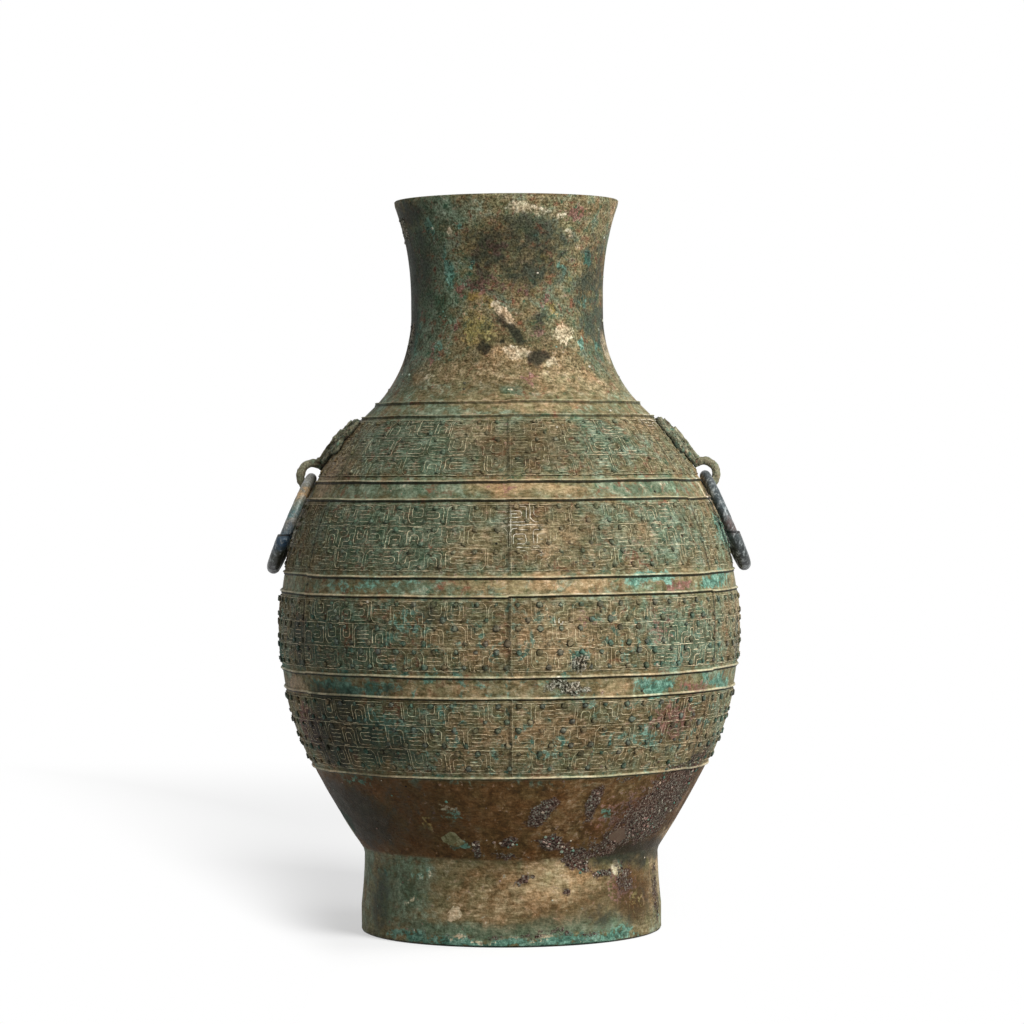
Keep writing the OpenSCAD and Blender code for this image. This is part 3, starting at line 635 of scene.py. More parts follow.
# How dark the seams, the band ground, the rim's top and the foot's bottom edge are made, down to -1:
# grime in the seams, and a painted contact shadow along the foot's bottom edge
SEAM_DIRT, MORE_SEAM_DIRT, BAND_GROUND_DARK, RIM_DARK, CONTACT_SHADOW = -0.30, 0.32, -0.28, -0.7, -1.0


def outer_heights():
    """Heights of the rows on the outside, about evenly spaced along the profile."""
    fine = np.linspace(0, TOP_Z, 4000)
    r, _ = wall_at(fine)
    walked = np.concatenate([[0], np.cumsum(np.hypot(np.diff(r), np.diff(fine)))])
    return np.interp(np.linspace(0, walked[-1], OUTER_ROWS), walked, fine)


def band_height(z):
    """How far the ground of the ornament bands stands out at heights z, from 0 to 1."""
    share = np.zeros_like(z)
    for i in range(1, 9, 2):
        high, low = RIDGE_Z[i] - BAND_MARGIN, RIDGE_Z[i + 1] + BAND_MARGIN
        share += smooth(low - 0.6, low + 0.6, z) * (1 - smooth(high - 0.6, high + 0.6, z))
    return share


def near_chaplets(points):
    """1 on and close round each wall chaplet, and 0 further off."""
    calm = np.zeros(len(points))
    for i in range(CHAPLETS):
        turn = math.radians(FIRST_CHAPLET + 360 / CHAPLETS * i)
        centre = round_points(np.array([turn]), CHAPLET_R, CHAPLET_Z)[0]
        calm = np.maximum(calm, 1 - smooth(6.0, 9.0, np.linalg.norm(points - centre, axis=1)))
    return calm


def vessel_wall(material):
    """The cast wall as one closed skin, from under the floor round the foot, up, and down the inside."""
    heights = outer_heights()
    r, _ = wall_at(heights)
    foot_inner = FOOT_R - FOOT_WALL
    inner_z = np.concatenate([np.linspace(TOP_Z - 2.0, NECK_TOP_Z, 7), np.linspace(300, 60, 22), [50.0]])
    inner_r, inner_b = wall_at(inner_z)
    inner_r = inner_r - WALL * np.cos(inner_b)
    inner_z = inner_z - WALL * np.sin(inner_b)
    rows = [(0.0, FLOOR_UNDER), (30.0, FLOOR_UNDER), (55.0, FLOOR_UNDER),
            (FOOT_TOP_R - FOOT_WALL, FLOOR_UNDER), (71.0, 28.0),
            (foot_inner, FOOT_BAND_H), (foot_inner, 5.0), (foot_inner, 0.5), (foot_inner + 0.5, 0.0),
            (FOOT_R - 1.3, 0.0), (FOOT_R - 0.4, 0.4), (FOOT_R, 1.3)]
    first_outer = len(rows)
    rows += [(reach, height) for reach, height in zip(r, heights) if 1.8 < height < TOP_Z - 0.8]
    last_outer = len(rows)
    rows += [(RIM_R, TOP_Z - 0.4), (RIM_R - 0.4, TOP_Z), (RIM_R - RIM_FLAT + 0.4, TOP_Z),
             (RIM_R - RIM_FLAT, TOP_Z - 0.4)]
    first_inner = len(rows)
    rows += list(zip(inner_r, inner_z))
    rows += [(71.5, 44.0), (FLOOR_FLAT_R + 3.0, FLOOR_TOP + 0.5), (FLOOR_FLAT_R - 4, FLOOR_TOP),
             (30.0, FLOOR_TOP), (0.0, FLOOR_TOP)]
    rows = np.array(rows)
    turns = np.arange(WALL_COLUMNS) * 2 * math.pi / WALL_COLUMNS
    ring = np.concatenate([round_points(turns, row[0], row[1]) for row in rows[1:-1]])
    points = np.concatenate([[[0, 0, rows[0, 1]]], ring, [[0, 0, rows[-1, 1]]]])
    row_of = np.concatenate([[0], np.repeat(np.arange(1, len(rows) - 1), WALL_COLUMNS), [len(rows) - 1]])
    outside = (row_of >= first_outer) & (row_of < last_outer)
    out = np.zeros_like(points)
    b = np.zeros(len(points))
    b[outside] = wall_at(points[outside, 2])[1]
    azimuth = np.arctan2(points[:, 0], -points[:, 1])
    out[:, 0] = np.sin(azimuth) * np.cos(b)
    out[:, 1] = -np.cos(azimuth) * np.cos(b)
    out[:, 2] = np.sin(b)
    crust = patina_at(points)["crust"]
    z = points[:, 2]
    swell = WAVES * cloud(points, 42.0, 5, 2) + DENTS * cloud(points, 5.0, 9, 2)
    swell += crust * (CRUST_SWELL + CRUST_LUMPS * cloud(points, 3.2, 14, 2))
    swell *= smooth(0.0, 4.0, z) * (1 - smooth(TOP_Z - 3.0, TOP_Z - 0.5, z))
    calm = near_chaplets(points)
    swell = (swell - SUNK) * (1 - calm) - SUNK_AT_CHAPLETS * calm
    band = band_height(z)
    swell += BAND_T * band
    hollow = (row_of >= first_inner) & (row_of < len(rows) - 4)
    inner_swell = INNER_WAVES * cloud(points, 30.0, 6, 2) - SUNK_INSIDE
    shift = np.where(outside, swell, np.where(hollow, inner_swell, 0.0))
    points = points + out * shift[:, None]
    faces = []
    count = len(rows) - 2
    columns = np.arange(WALL_COLUMNS)
    beyond = (columns + 1) % WALL_COLUMNS
    for row in range(count - 1):
        low, high = 1 + row * WALL_COLUMNS, 1 + (row + 1) * WALL_COLUMNS
        faces += np.stack([low + columns, low + beyond, high + beyond, high + columns], -1).tolist()
    last = len(points) - 1
    top = 1 + (count - 1) * WALL_COLUMNS
    faces += [(0, 1 + int(n), 1 + int(c)) for c, n in zip(columns, beyond)]
    faces += [(last, top + int(c), top + int(n)) for c, n in zip(columns, beyond)]
    mesh = bpy.data.meshes.new("vessel_wall")
    mesh.from_pydata((points * MM).tolist(), [], faces)
    paint(mesh)
    seam = np.abs((np.degrees(azimuth) + 30) % 60 - 30) < 0.1
    seam_dirt = SEAM_DIRT - MORE_SEAM_DIRT * band
    groove = np.where(seam & (z > RIDGE_Z[-1]) & (z < RIDGE_Z[0]), seam_dirt, 0.0)
    on_foot = np.hypot(points[:, 0], points[:, 1]) > FOOT_R - 1.0
    # Painted contact shadow: the outside of the foot's bottom edge is made dark where it meets the floor
    edge = np.where((z < 0.8) & on_foot, CONTACT_SHADOW, 0.0)
    groove = np.where((z > TOP_Z - 1.7) & outside, RIM_DARK, groove)
    store(mesh, "relief", np.where(outside, np.minimum(BAND_GROUND_DARK * band, groove), edge))
    return piece_from("vessel_wall", mesh, material, "vessel", "vessel_body")


# Geometry Nodes for what is laid flat, in mm, and then wrapped round the vessel
class Growth(Bench):
    """A tree with a geometry, named sizes and a material going in, and a geometry coming out."""

    def __init__(self, name, sizes):
        super().__init__(bpy.data.node_groups.new(name, "GeometryNodeTree"))
        sockets = self.tree.interface
        sockets.new_socket(name="Geometry", in_out="OUTPUT", socket_type="NodeSocketGeometry")
        for label, kind in {"Geometry": "Geometry", **sizes, "Material": "Material"}.items():
            sockets.new_socket(name=label, in_out="INPUT", socket_type="NodeSocket" + kind)
        self.given = self.add("NodeGroupInput").outputs
        self.made = self.add("NodeGroupOutput").inputs[0]
        self.place = self.add("GeometryNodeInputPosition").outputs[0]

    def stored(self, name):
        """A number stored at each point of the geometry."""
        return self.add("GeometryNodeInputNamedAttribute", {"Name": name}, data_type="FLOAT").outputs[0]

    def store(self, geometry, name, value, domain):
        return self.add("GeometryNodeStoreNamedAttribute", {0: geometry, "Name": name, "Value": value},
                        data_type="FLOAT", domain=domain)

    def chance(self, low, high, seed):
        """A seeded number for each instance, between two limits."""
        return self.add("FunctionNodeRandomValue", {2: low, 3: high, "Seed": seed},
                        data_type="FLOAT").outputs[1]

    def noise(self, scale, **settings):
        return self.add("ShaderNodeTexNoise", {"Vector": self.place, "Scale": scale, **settings}).outputs

    def bent(self, geometry, scale, detail, reach):
        """Shifts points by smooth noise with a reach along each axis."""
        noise = self.noise(scale, Detail=detail)[1]
        centred = self.add("ShaderNodeVectorMath", {0: noise, 1: (0.5, 0.5, 0.5)}, operation="SUBTRACT")
        offset = self.add("ShaderNodeVectorMath", {0: centred, 1: reach}, operation="MULTIPLY")
        return self.add("GeometryNodeSetPosition", {0: geometry, "Offset": offset})

    def lines_of(self, wire):
        """The lines of a wire object that goes in."""
        info = self.add("GeometryNodeObjectInfo", {0: wire})
        return self.add("GeometryNodeMeshToCurve", {0: info.outputs["Geometry"]})

    def raised(self, lines, section, scale):
        """A section swept along flat lines, at a scale that may change on the way."""
        upright = self.add("GeometryNodeSetCurveNormal", {0: lines}, mode="Z_UP")
        outline = self.lines_of(self.given[section])
        return self.add("GeometryNodeCurveToMesh", {"Curve": upright, "Profile Curve": outline,
                                                    "Scale": scale, "Fill Caps": True})

    def both(self, first, second):
        joined = self.add("GeometryNodeJoinGeometry")
        self.join(first, joined.inputs[0])
        self.join(second, joined.inputs[0])
        return joined

    def wrapped(self, flat):
        """Wraps flat geometry round an arc of the profile: x runs round it, y up along it, z outwards."""
        given, plus, times, scaled = self.given, self.plus, self.times, self.scaled
        x, y, z = self.add("ShaderNodeSeparateXYZ", {0: self.place}).outputs
        turn = self.maths("DIVIDE", x, given["Reference radius"])
        bearing = plus(given["Low bearing"], self.maths("DIVIDE", y, given["Arc radius"]))
        reach = plus(plus(given["Arc radius"], given["Stand-off"]), z)
        r = scaled(reach, self.maths("COSINE", bearing), given["Arc centre r"])
        up = scaled(reach, self.maths("SINE", bearing), given["Arc centre z"])
        across = times(r, self.maths("SINE", turn))
        back = times(r, times(self.maths("COSINE", turn), -1.0))
        spot = self.add("ShaderNodeCombineXYZ", {0: across, 1: back, 2: up})
        metres = self.add("ShaderNodeVectorMath", {0: spot, "Scale": MM}, operation="SCALE")
        return self.add("GeometryNodeSetPosition", {0: flat, "Position": metres})

    def hand_over(self, geometry):
        """Makes the geometry real, gives it the material that goes in and brings it out."""
        real = self.add("GeometryNodeRealizeInstances", {0: geometry})
        coated = self.add("GeometryNodeSetMaterial", {0: real, "Material": self.given["Material"]})
        self.join(coated, self.made)
        return self.tree


def grown(name, source, tree, values):
    """Mesh that a tree makes of a source mesh, with the tree's inputs set by name."""
    holder = linked(name + "_source", source)
    modifier = holder.modifiers.new(name, "NODES")
    modifier.node_group = tree
    for item in tree.interface.items_tree:
        if item.in_out == "INPUT" and item.name in values:
            modifier[item.identifier] = values[item.name]
    mesh = evaluated(holder)
    faces_outwards(mesh)
    mesh.name = name
    return mesh


WRAP_SIZES = ("Arc centre r", "Arc centre z", "Arc radius", "Low bearing", "Reference radius",
              "Stand-off")


def shape_object(name, points, edges, relief=None):
    """A small wire shape that a tree takes in as an object."""
    mesh = bpy.data.meshes.new(name)
    mesh.from_pydata(points, edges, [])
    if relief is not None:
        store(mesh, "relief", relief)
    return bpy.data.objects.new(name, mesh)


def cross_section(name, outline):
    """Closed outline of a raised line: across, height and how worn each corner is; a number below zero
    paints the corner dark instead, a painted shade.
    """
    points = [(-across, -height, 0.0) for across, height, _ in outline]
    edges = [(i, (i + 1) % len(points)) for i in range(len(points))]
    return shape_object(name, points, edges, [worn for _, _, worn in outline])


# Motifs of the scroll ornament, as lines in a cell one wide and one high
MOTIFS = {
    "hook": (((-.46, -.5), (-.46, .16), (-.30, .36), (-.06, .36)),
             ((-.28, -.34), (-.28, .10), (.30, .10), (.30, -.34), (-.10, -.34)),
             ((-.10, -.12), (.14, -.12)), ((.02, .28), (.40, .28))),
    "arch": (((-.44, -.48), (-.44, .30), (.36, .30), (.36, -.30)),
             ((-.24, -.30), (-.24, .10), (.18, .10), (.18, -.30)),
             ((-.10, -.14), (.06, -.14)), ((-.42, .44), (.10, .44)), ((.10, -.44), (.46, -.44))),
    "loop": (((.46, .36), (-.36, .36), (-.36, -.36), (.46, -.36)),
             ((.46, .15), (-.14, .15), (-.14, -.15), (.46, -.15)),
             ((.46, .0), (.10, .0))),
    "step": (((-.48, .40), (-.08, .40), (-.08, .02), (.36, .02), (.36, -.46)),
             ((-.48, .18), (-.27, .18), (-.27, -.20), (.16, -.20), (.16, -.46)),
             ((.10, .24), (.46, .24)), ((-.48, -.40), (.02, -.40))),
    "feather": (((-.45, -.46), (-.45, .26), (-.28, .42), (.02, .42)),
                ((-.26, .20), (.46, .20)), ((-.26, .04), (.46, .04)),
                ((-.26, -.12), (.40, -.12)), ((-.28, -.30), (.30, -.30))),
}


def motif_objects():
    """The motifs as wire objects, in the order of their names' places in the list."""
    made = {}
    for name, lines in MOTIFS.items():
        points, edges = [], []
        for line in lines:
            edges += [(len(points) + i, len(points) + i + 1) for i in range(len(line) - 1)]
            points += [(x, y, 0.0) for x, y in line]
        made[name] = shape_object(name, points, edges)
    return made


def scroll_tree():
    """Tree that lays motifs, bosses and seam lines on a flat strip and wraps it round the belly."""
    numbers = ("Unit width", "Unit height", "Line width", "Boss width", "Boss edge", *WRAP_SIZES)
    bench = Growth("scroll_band", {**dict.fromkeys(numbers, "Float"), "Seed": "Int",
                                   **dict.fromkeys((*MOTIFS, "Line section"), "Object")})
    given, kind = bench.given, bench.stored("kind")

    def only(number):
        chosen = bench.maths("COMPARE", kind, float(number), 0.1)
        return bench.add("GeometryNodeSeparateGeometry", {0: given["Geometry"], 1: chosen}).outputs[0]

    shelf = bench.add("GeometryNodeJoinGeometry")
    for name in reversed(MOTIFS):
        lines = bench.lines_of(given[name])
        bench.join(bench.add("GeometryNodeGeometryToInstance", {0: lines}), shelf.inputs[0])
    width = bench.times(given["Unit width"], bench.stored("mirror"))
    height = bench.times(given["Unit height"], bench.stored("tumble"))
    scale = bench.add("ShaderNodeCombineXYZ", {0: width, 1: height, 2: 1.0})
    laid = bench.add("GeometryNodeInstanceOnPoints", {"Points": only(0), "Instance": shelf,
                                                      "Pick Instance": True,
                                                      "Instance Index": bench.stored("motif"),
                                                      "Scale": scale})
    real = bench.add("GeometryNodeRealizeInstances", {0: laid})
    rounded = bench.add("GeometryNodeFilletCurve", {0: real, "Count": 3, "Radius": 1.15,
                                                    "Limit Radius": True}, mode="POLY")
    lines = bench.both(rounded, bench.add("GeometryNodeMeshToCurve", {0: only(2)}))
    fine = bench.add("GeometryNodeResampleCurve", {0: lines, "Length": 0.8}, mode="LENGTH")
    moved = bench.bent(fine, 0.5, 2.0, (1.1, 1.1, 0.0))
    left = bench.step(bench.noise(0.07, Detail=4.0, Roughness=0.7)[0], 0.30, 0.56)
    stretch = bench.maths("DIVIDE", bench.times(given["Reference radius"], math.pi), float(SECTIONS))
    x, _, height = bench.add("ShaderNodeSeparateXYZ", {0: bench.place}).outputs
    from_seam = bench.maths("PINGPONG", x, stretch)
    strength = bench.times(left, bench.step(from_seam, -1.0, 5.0))
    scale = bench.times(given["Line width"], bench.scaled(strength, 0.7, 0.3))
    raised = bench.raised(moved, "Line section", scale)

    cone = bench.add("GeometryNodeMeshCone", {"Vertices": 7, "Side Segments": 2, "Radius Top": 0.40,
                                              "Radius Bottom": 0.64, "Depth": 0.38})
    # The foot of each boss is painted dark, a painted shade, running up to a plain top
    boss = bench.store(cone, "relief", bench.levels(height, 0.08, 0.38, given["Boss edge"], 0.15),
                       "POINT")
    turned = bench.add("ShaderNodeCombineXYZ", {2: bench.chance(0.0, 6.28, given["Seed"])})
    girth = bench.times(given["Boss width"], bench.chance(0.75, 1.25, given["Seed"]))
    bosses = bench.add("GeometryNodeInstanceOnPoints", {"Points": only(1), "Instance": boss,
                                                        "Rotation": turned, "Scale": girth})
    domed = bench.add("GeometryNodeRealizeInstances", {0: bosses})
    knobbly = bench.bent(domed, 0.9, 1.0, (2.2, 2.2, 0.9))
    return bench.hand_over(bench.wrapped(bench.both(raised, knobbly)))


def scroll_layout(number, arc_length, width, units, dice):
    """Flat places of one band's motifs, bosses and seam lines."""
    points, edges, numbers = [], [], []

    def put(x, y, kind, motif=0, mirror=1, tumble=1, tint=0.0):
        points.append((x, y, 0.0))
        numbers.append((kind, motif, mirror, tumble, tint))

    def seam(from_x, from_y, to_x, to_y):
        edges.append((len(points), len(points) + 1))
        put(from_x, from_y, 2)
        put(to_x, to_y, 2)

    tier = arc_length / TIERS
    unit = width / units
    shifts = dice.uniform(-0.45, 0.45, SECTIONS)
    for level in range(TIERS):
        for i in range(units):
            shift = shifts[int(i / units * SECTIONS)]
            x, y = (i + 0.5) * unit, (level + 0.5) * tier + shift
            motif = (i * 2 + level * 3 + number + int(dice.integers(0, 2))) % len(MOTIFS)
            put(x, y, 0, motif, 1 if (i + level) % 2 else -1, 1 if (i // 2 + level) % 2 else -1)
            put(x - 0.06 * unit + dice.uniform(-.6, .6), y + 0.34 * tier, 1, tint=dice.uniform(0.06, 1))
            if dice.uniform() < BOSS_SHARES[number]:
                put(x + 0.40 * unit + dice.uniform(-.6, .6), y - 0.30 * tier, 1,
                    tint=dice.uniform(0.06, 1))
    for level in range(TIERS + 1):
        for i in range(SEAM_STEPS):
            if dice.uniform() < 0.08:
                continue
            shift = shifts[int(i / SEAM_STEPS * SECTIONS)]
            y = min(max(level * tier + shift, 0.3), arc_length - 0.3)
            seam(i * width / SEAM_STEPS, y, (i + 1) * width / SEAM_STEPS, y)
    for i in range(SECTIONS):
        x = i * width / SECTIONS + 1.2
        seam(x, -1.5, x, arc_length + 1.5)
    mesh = bpy.data.meshes.new("scroll_layout")
    mesh.from_pydata(points, edges, [])
    for name, values in zip(("kind", "motif", "mirror", "tumble", "tint"), zip(*numbers)):
        store(mesh, name, values)
    return mesh


def scroll_bands(material):
    """The four ornament bands, each between two ridges."""
    tree = scroll_tree()
    # The scroll lines' flanks are painted dark, a painted shade, and their tops are worn
    line = cross_section("line_section", ((-0.68, -0.30, -1.3), (-0.42, 0.10, -0.9), (-0.1, 0.42, 1.0),
                                          (0.16, 0.42, 1.0), (0.42, 0.10, -0.3), (0.68, -0.30, -1.0)))
    motifs = motif_objects()
    for number in range(4):
        high, low = RIDGE_Z[1 + 2 * number] - BAND_MARGIN, RIDGE_Z[2 + 2 * number] + BAND_MARGIN
        low_bearing = math.asin((low - BELLY_C[1]) / BELLY_ARC_R)
        high_bearing = math.asin((high - BELLY_C[1]) / BELLY_ARC_R)
        arc_length = (high_bearing - low_bearing) * BELLY_ARC_R
        middle_r = BELLY_C[0] + BELLY_ARC_R * math.cos((low_bearing + high_bearing) / 2)
        width, units = 2 * math.pi * middle_r, UNITS_ROUND[number]
        dice = np.random.default_rng(BAND_SEED + number)
        layout = scroll_layout(number, arc_length, width, units, dice)
        name = f"scroll_band_{number + 1}"
        values = {"Unit width": width / units, "Unit height": arc_length / TIERS, "Line width": 0.62,
                  "Boss width": BOSS_WIDTHS[number], "Boss edge": BOSS_FOOT_SHADE[number],
                  "Seed": 30 + number, **motifs, "Line section": line, "Material": material,
                  "Arc centre r": BELLY_C[0], "Arc centre z": BELLY_C[1], "Arc radius": BELLY_ARC_R,
                  "Low bearing": low_bearing, "Reference radius": middle_r, "Stand-off": BAND_T - 0.15}
        mesh = grown(name, layout, tree, values)
        paint(mesh)
        keep_within(mesh, FURTHEST)
        piece_from(name, mesh, material, "vessel")


def ridge_tree():
    """Tree that sweeps a ridge's section along flat paths and wraps them round the vessel."""
    bench = Growth("string_ridge", {"Ridge section": "Object", **dict.fromkeys(WRAP_SIZES, "Float")})
    paths = bench.add("GeometryNodeMeshToCurve", {0: bench.given["Geometry"]})
    scale = bench.levels(bench.noise(0.16, Detail=3.0)[0], 0.3, 0.7, 0.82, 1.0)
    return bench.hand_over(bench.wrapped(bench.raised(paths, "Ridge section", scale)))


# How worn a ridge's crest is, partly a painted highlight, and how dark its underside and a strip below it
# are painted, a painted shadow, and each piece with its ridges, the arc it lies on and its section
RIDGE_WEAR_AND_SHADOW = {"soft_ridge": (0.6, 0.42), "crisp_ridge": (0.68, 1.0)}
RIDGE_PIECES = (("neck_ridge", (0,), NECK_C, NECK_ARC_R, "soft_ridge"),
                ("shoulder_ridge", (1,), BELLY_C, BELLY_ARC_R, "soft_ridge"),
                ("belly_ridges", range(2, 9), BELLY_C, BELLY_ARC_R, "crisp_ridge"))


def string_ridges(material):
    """The nine string ridges, with a step where the mould sections met."""
    sections = {}
    for name, (worn, dirt_and_shade) in RIDGE_WEAR_AND_SHADOW.items():
        # Each ridge's underside and a skirt below it are painted dark, a painted shadow, and its top
        # corners are worn
        sections[name] = cross_section(name, (
            (0.95, -0.40, 0.0), (0.85, 0.12, 0.2), (0.30, 0.70, 0.9), (0.05, 0.90, worn),
            (-0.30, 0.90, worn), (-0.44, 0.66, -0.5 * dirt_and_shade), (-0.50, 0.24, -1.4 * dirt_and_shade),
            (-1.25, 0.22, -1.4 * dirt_and_shade), (-1.6, -0.40, -dirt_and_shade)))
    tree = ridge_tree()
    for name, chosen, centre, arc_r, section in RIDGE_PIECES:
        points, edges = [], []
        dice = np.random.default_rng(RIDGE_SEED)
        for ridge in chosen:
            shifts = dice.uniform(-0.35, 0.35, SECTIONS)
            bearing = math.asin((RIDGE_Z[ridge] - centre[1]) / arc_r)
            for i in range(RIDGE_STEPS + 1):
                turn = 360 * i / RIDGE_STEPS
                off_mask = min(abs((turn - 90 + 180) % 360 - 180), abs((turn - 270 + 180) % 360 - 180))
                gap = ridge == BROKEN_RIDGE and off_mask < RIDGE_BREAK
                start = not points or i == 0
                y = bearing * arc_r + shifts[int(i / RIDGE_STEPS * SECTIONS) % SECTIONS]
                angle = math.radians(turn)
                y += 0.12 * math.sin(angle * 7 + ridge) + 0.08 * math.sin(angle * 17 + 2 * ridge)
                if gap:
                    joined = False
                    continue
                if not start and joined:
                    edges.append((len(points) - 1, len(points)))
                joined = True
                points.append((angle * RIDGE_REFERENCE_R, y, 0.0))
        mesh = bpy.data.meshes.new(name)
        mesh.from_pydata(points, edges, [])
        values = {"Ridge section": sections[section], "Material": material, "Arc centre r": centre[0],
                  "Arc centre z": centre[1], "Arc radius": arc_r, "Low bearing": 0.0,
                  "Reference radius": RIDGE_REFERENCE_R, "Stand-off": 0.0}
        made = grown(name, mesh, tree, values)
        paint(made)
        piece_from(name, made, material, "vessel")


# Masks and rings; the plate of a mask stands this far off the wall
PLATE_MM = 2.4


def remeshed(node, voxel, rounds):
    """A copy of a CAD node's mesh, merged, remeshed evenly and softened."""
    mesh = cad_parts[node].data.copy()
    work = bmesh.new()
    work.from_mesh(mesh)
    bmesh.ops.remove_doubles(work, verts=work.verts, dist=1e-6)
    work.to_mesh(mesh)
    work.free()
    holder = linked(node + "_copy", mesh)
    remesh = holder.modifiers.new("even", "REMESH")
    remesh.mode = "VOXEL"
    remesh.voxel_size = voxel * MM
    soften = holder.modifiers.new("soften", "SMOOTH")
    soften.iterations = rounds
    soften.factor = 0.5
    made = evaluated(holder)
    for attribute in [a.name for a in made.color_attributes]:
        made.color_attributes.remove(made.color_attributes[attribute])
    return made


def pushed(mesh, distance):
    """Moves every vertex of a mesh outwards by its own distance in mm."""
    move_to(mesh, vertices_of(mesh) + normals_of(mesh) * distance[:, None] * MM)


def weathered(node, voxel, rounds, lumps, grains, sunk):
    """A CAD node's mesh with two noises on it, each a height in mm and cloud's size, seed and octaves."""
    mesh = remeshed(node, voxel, rounds)
    points = vertices_of(mesh) / MM
    skin = lumps[0] * cloud(points, *lumps[1:]) + grains[0] * cloud(points, *grains[1:])
    pushed(mesh, skin - sunk)
    return mesh, points


def masks(material):
    """The two beast masks, with the skin of old castings."""
    for number, node in enumerate(("right_mask", "left_mask")):
        lumps, grains = (0.42, 3.0, 300 + number, 3), (0.22, 1.3, 310 + number)
        mesh, points = weathered(node, 0.4, 2, lumps, grains, 0.24)
        r, bearing = wall_at(points[:, 2])
        off = (np.hypot(points[:, 0], points[:, 1]) - r) * np.cos(bearing)
        store(mesh, "relief", np.clip((off - PLATE_MM) / PLATE_MM, -0.8, 1.0))
        paint(mesh)
        piece_from(node.replace("_mask", "_beast_mask"), mesh, material, "vessel", node)


def rings(material):
    """The two loose rings, worn thin above and thick below."""
    for number, node in enumerate(("right_ring", "left_ring")):
        lumps, grains = (0.10, 3.0, 330 + number, 2), (0.05, 1.2, 340 + number)
        mesh, points = weathered(node, 0.3, 1, lumps, grains, 0.12)
        height = points[:, 2]
        low, high = height.min(), height.max()
        store(mesh, "relief", (height - low) / (high - low))
        paint(mesh)
        piece_from(node.replace("_ring", "_loose_ring"), mesh, material, node, node)


def crust_nodules(wall, material):
    """Small hard lumps of corrosion, scattered where the crust is painted."""
    bench = Growth("crust_nodules", {"Density": "Float", "Lump size": "Float", "Seed": "Int"})
    given = bench.given
    spread = bench.add("GeometryNodeDistributePointsOnFaces", {
        "Mesh": given["Geometry"], "Density": bench.times(bench.stored("crusty"), given["Density"]),
        "Seed": given["Seed"]}).outputs
    lump = bench.add("GeometryNodeMeshIcoSphere", {"Radius": 1.0, "Subdivisions": 2})
    knob = bench.bent(lump, 1.3, 2.0, (1.4, 1.4, 1.4))
    share = bench.scaled(bench.maths("POWER", bench.chance(0.0, 1.0, given["Seed"]), 2.0), 0.75, 0.40)
    size = bench.times(share, given["Lump size"])
    flat = bench.add("ShaderNodeCombineXYZ", {0: size, 1: size, 2: bench.times(size, 0.55)})
    laid = bench.add("GeometryNodeInstanceOnPoints", {"Points": spread["Points"], "Instance": knob,
                                                      "Rotation": spread["Rotation"], "Scale": flat})
    bench.hand_over(bench.store(laid, "fleck", bench.chance(0.06, 1.0, 5), "INSTANCE"))
    source = wall.data.copy()
    points = vertices_of(source) / MM
    r, _ = wall_at(points[:, 2])
    outside = np.hypot(points[:, 0], points[:, 1]) > r - 1.2
    cloudy = smooth(0.0, 0.5, cloud(points, 9.0, 90, 2))
    patchy = smooth(-0.25, 0.45, cloud(points, 3.6, 93, 2))
    heavy = smooth(0.22, 0.85, patina_at(points)["crust"] * (0.45 + cloudy))
    crusty = heavy * (0.15 + 0.85 * patchy) + 0.02 * cloudy
    crusty = crusty * outside * smooth(1.5, 4.0, points[:, 2])
    crusty = crusty * np.where(points[:, 0] < 0, 1 - near_chaplets(points), 1.0)
    crusty = crusty * smooth(2.0, 5.0, TOP_Z - points[:, 2])
    store(source, "crusty", crusty)
    mesh = grown("crust_nodules", source, bench.tree, {"Density": 330000.0, "Lump size": 0.8 * MM,
                                                       "Seed": 12, "Material": material})
    paint(mesh)
    keep_within(mesh, FURTHEST)
    piece_from("crust_nodules", mesh, material, "vessel")


def simple_finish(name, stops, size_mm, rough, metal=0.0, bump_mm=0.2):
    """Mottled finish from a few colours, with its roughness and bump."""
    finish = Finish(name)
    finish.surface("Specular IOR Level", 0.08)
    medium = finish.noise(size_mm, 5.0, 0.65, 0.3)
    speck = finish.noise(size_mm * 0.2, 3.0, 0.7)
    finish.surface("Base Color", finish.ramp(finish.blend(0.35, medium, speck), *stops))
    finish.surface("Roughness", finish.blend(speck, rough[0], rough[1]))
    finish.surface("Metallic", metal)
    finish.bumps(0.7, bump_mm, speck)
    return finish


def mask_bronze():
    """Rough green and brown bronze, grainy all over, dark in the hollows."""
    stops = ((0.15, 0.030, 0.032, 0.018), (0.40, 0.090, 0.090, 0.055), (0.62, 0.165, 0.160, 0.105),
             (0.88, 0.300, 0.280, 0.190))
    finish = simple_finish("mask_bronze", stops, 4.5, (0.50, 0.70), 0.05, 0.5)
    below = finish.shader.inputs["Base Color"].links[0].from_socket
    relief = finish.attribute("relief")["Fac"]
    green, rust, crevice_dark, crest = ((0.075, 0.130, 0.090, 1), (0.120, 0.065, 0.042, 1),
                                (0.014, 0.016, 0.011, 1), (0.300, 0.270, 0.175, 1))
    stain = finish.noise(2.6, 4.0, 0.7)
    colour = finish.mix(finish.cover(0.30, stain, 0.9), below, green)
    colour = finish.mix(finish.cover(0.22, finish.maths("SUBTRACT", 1.0, stain), 0.9), colour, rust)
    grains = finish.ramp(finish.noise(1.1, 3.0, 0.65), (0.14, 0.15, 0.15, 0.14), (0.86, 2.3, 2.3, 2.3))
    colour = finish.mix(0.85, colour, grains, "MULTIPLY")
    # Darker towards the wall round the mask's sides: grime together with painted shade
    dirt_and_shade = finish.times(finish.step(finish.times(relief, -1.0), -0.1, 0.7), 0.8)
    colour = finish.mix(dirt_and_shade, colour, crevice_dark)
    worn = finish.times(finish.step(relief, 0.3, 1.0), 0.35)
    colour = finish.mix(worn, colour, crest)
    finish.surface("Base Color", colour)
    return finish.material


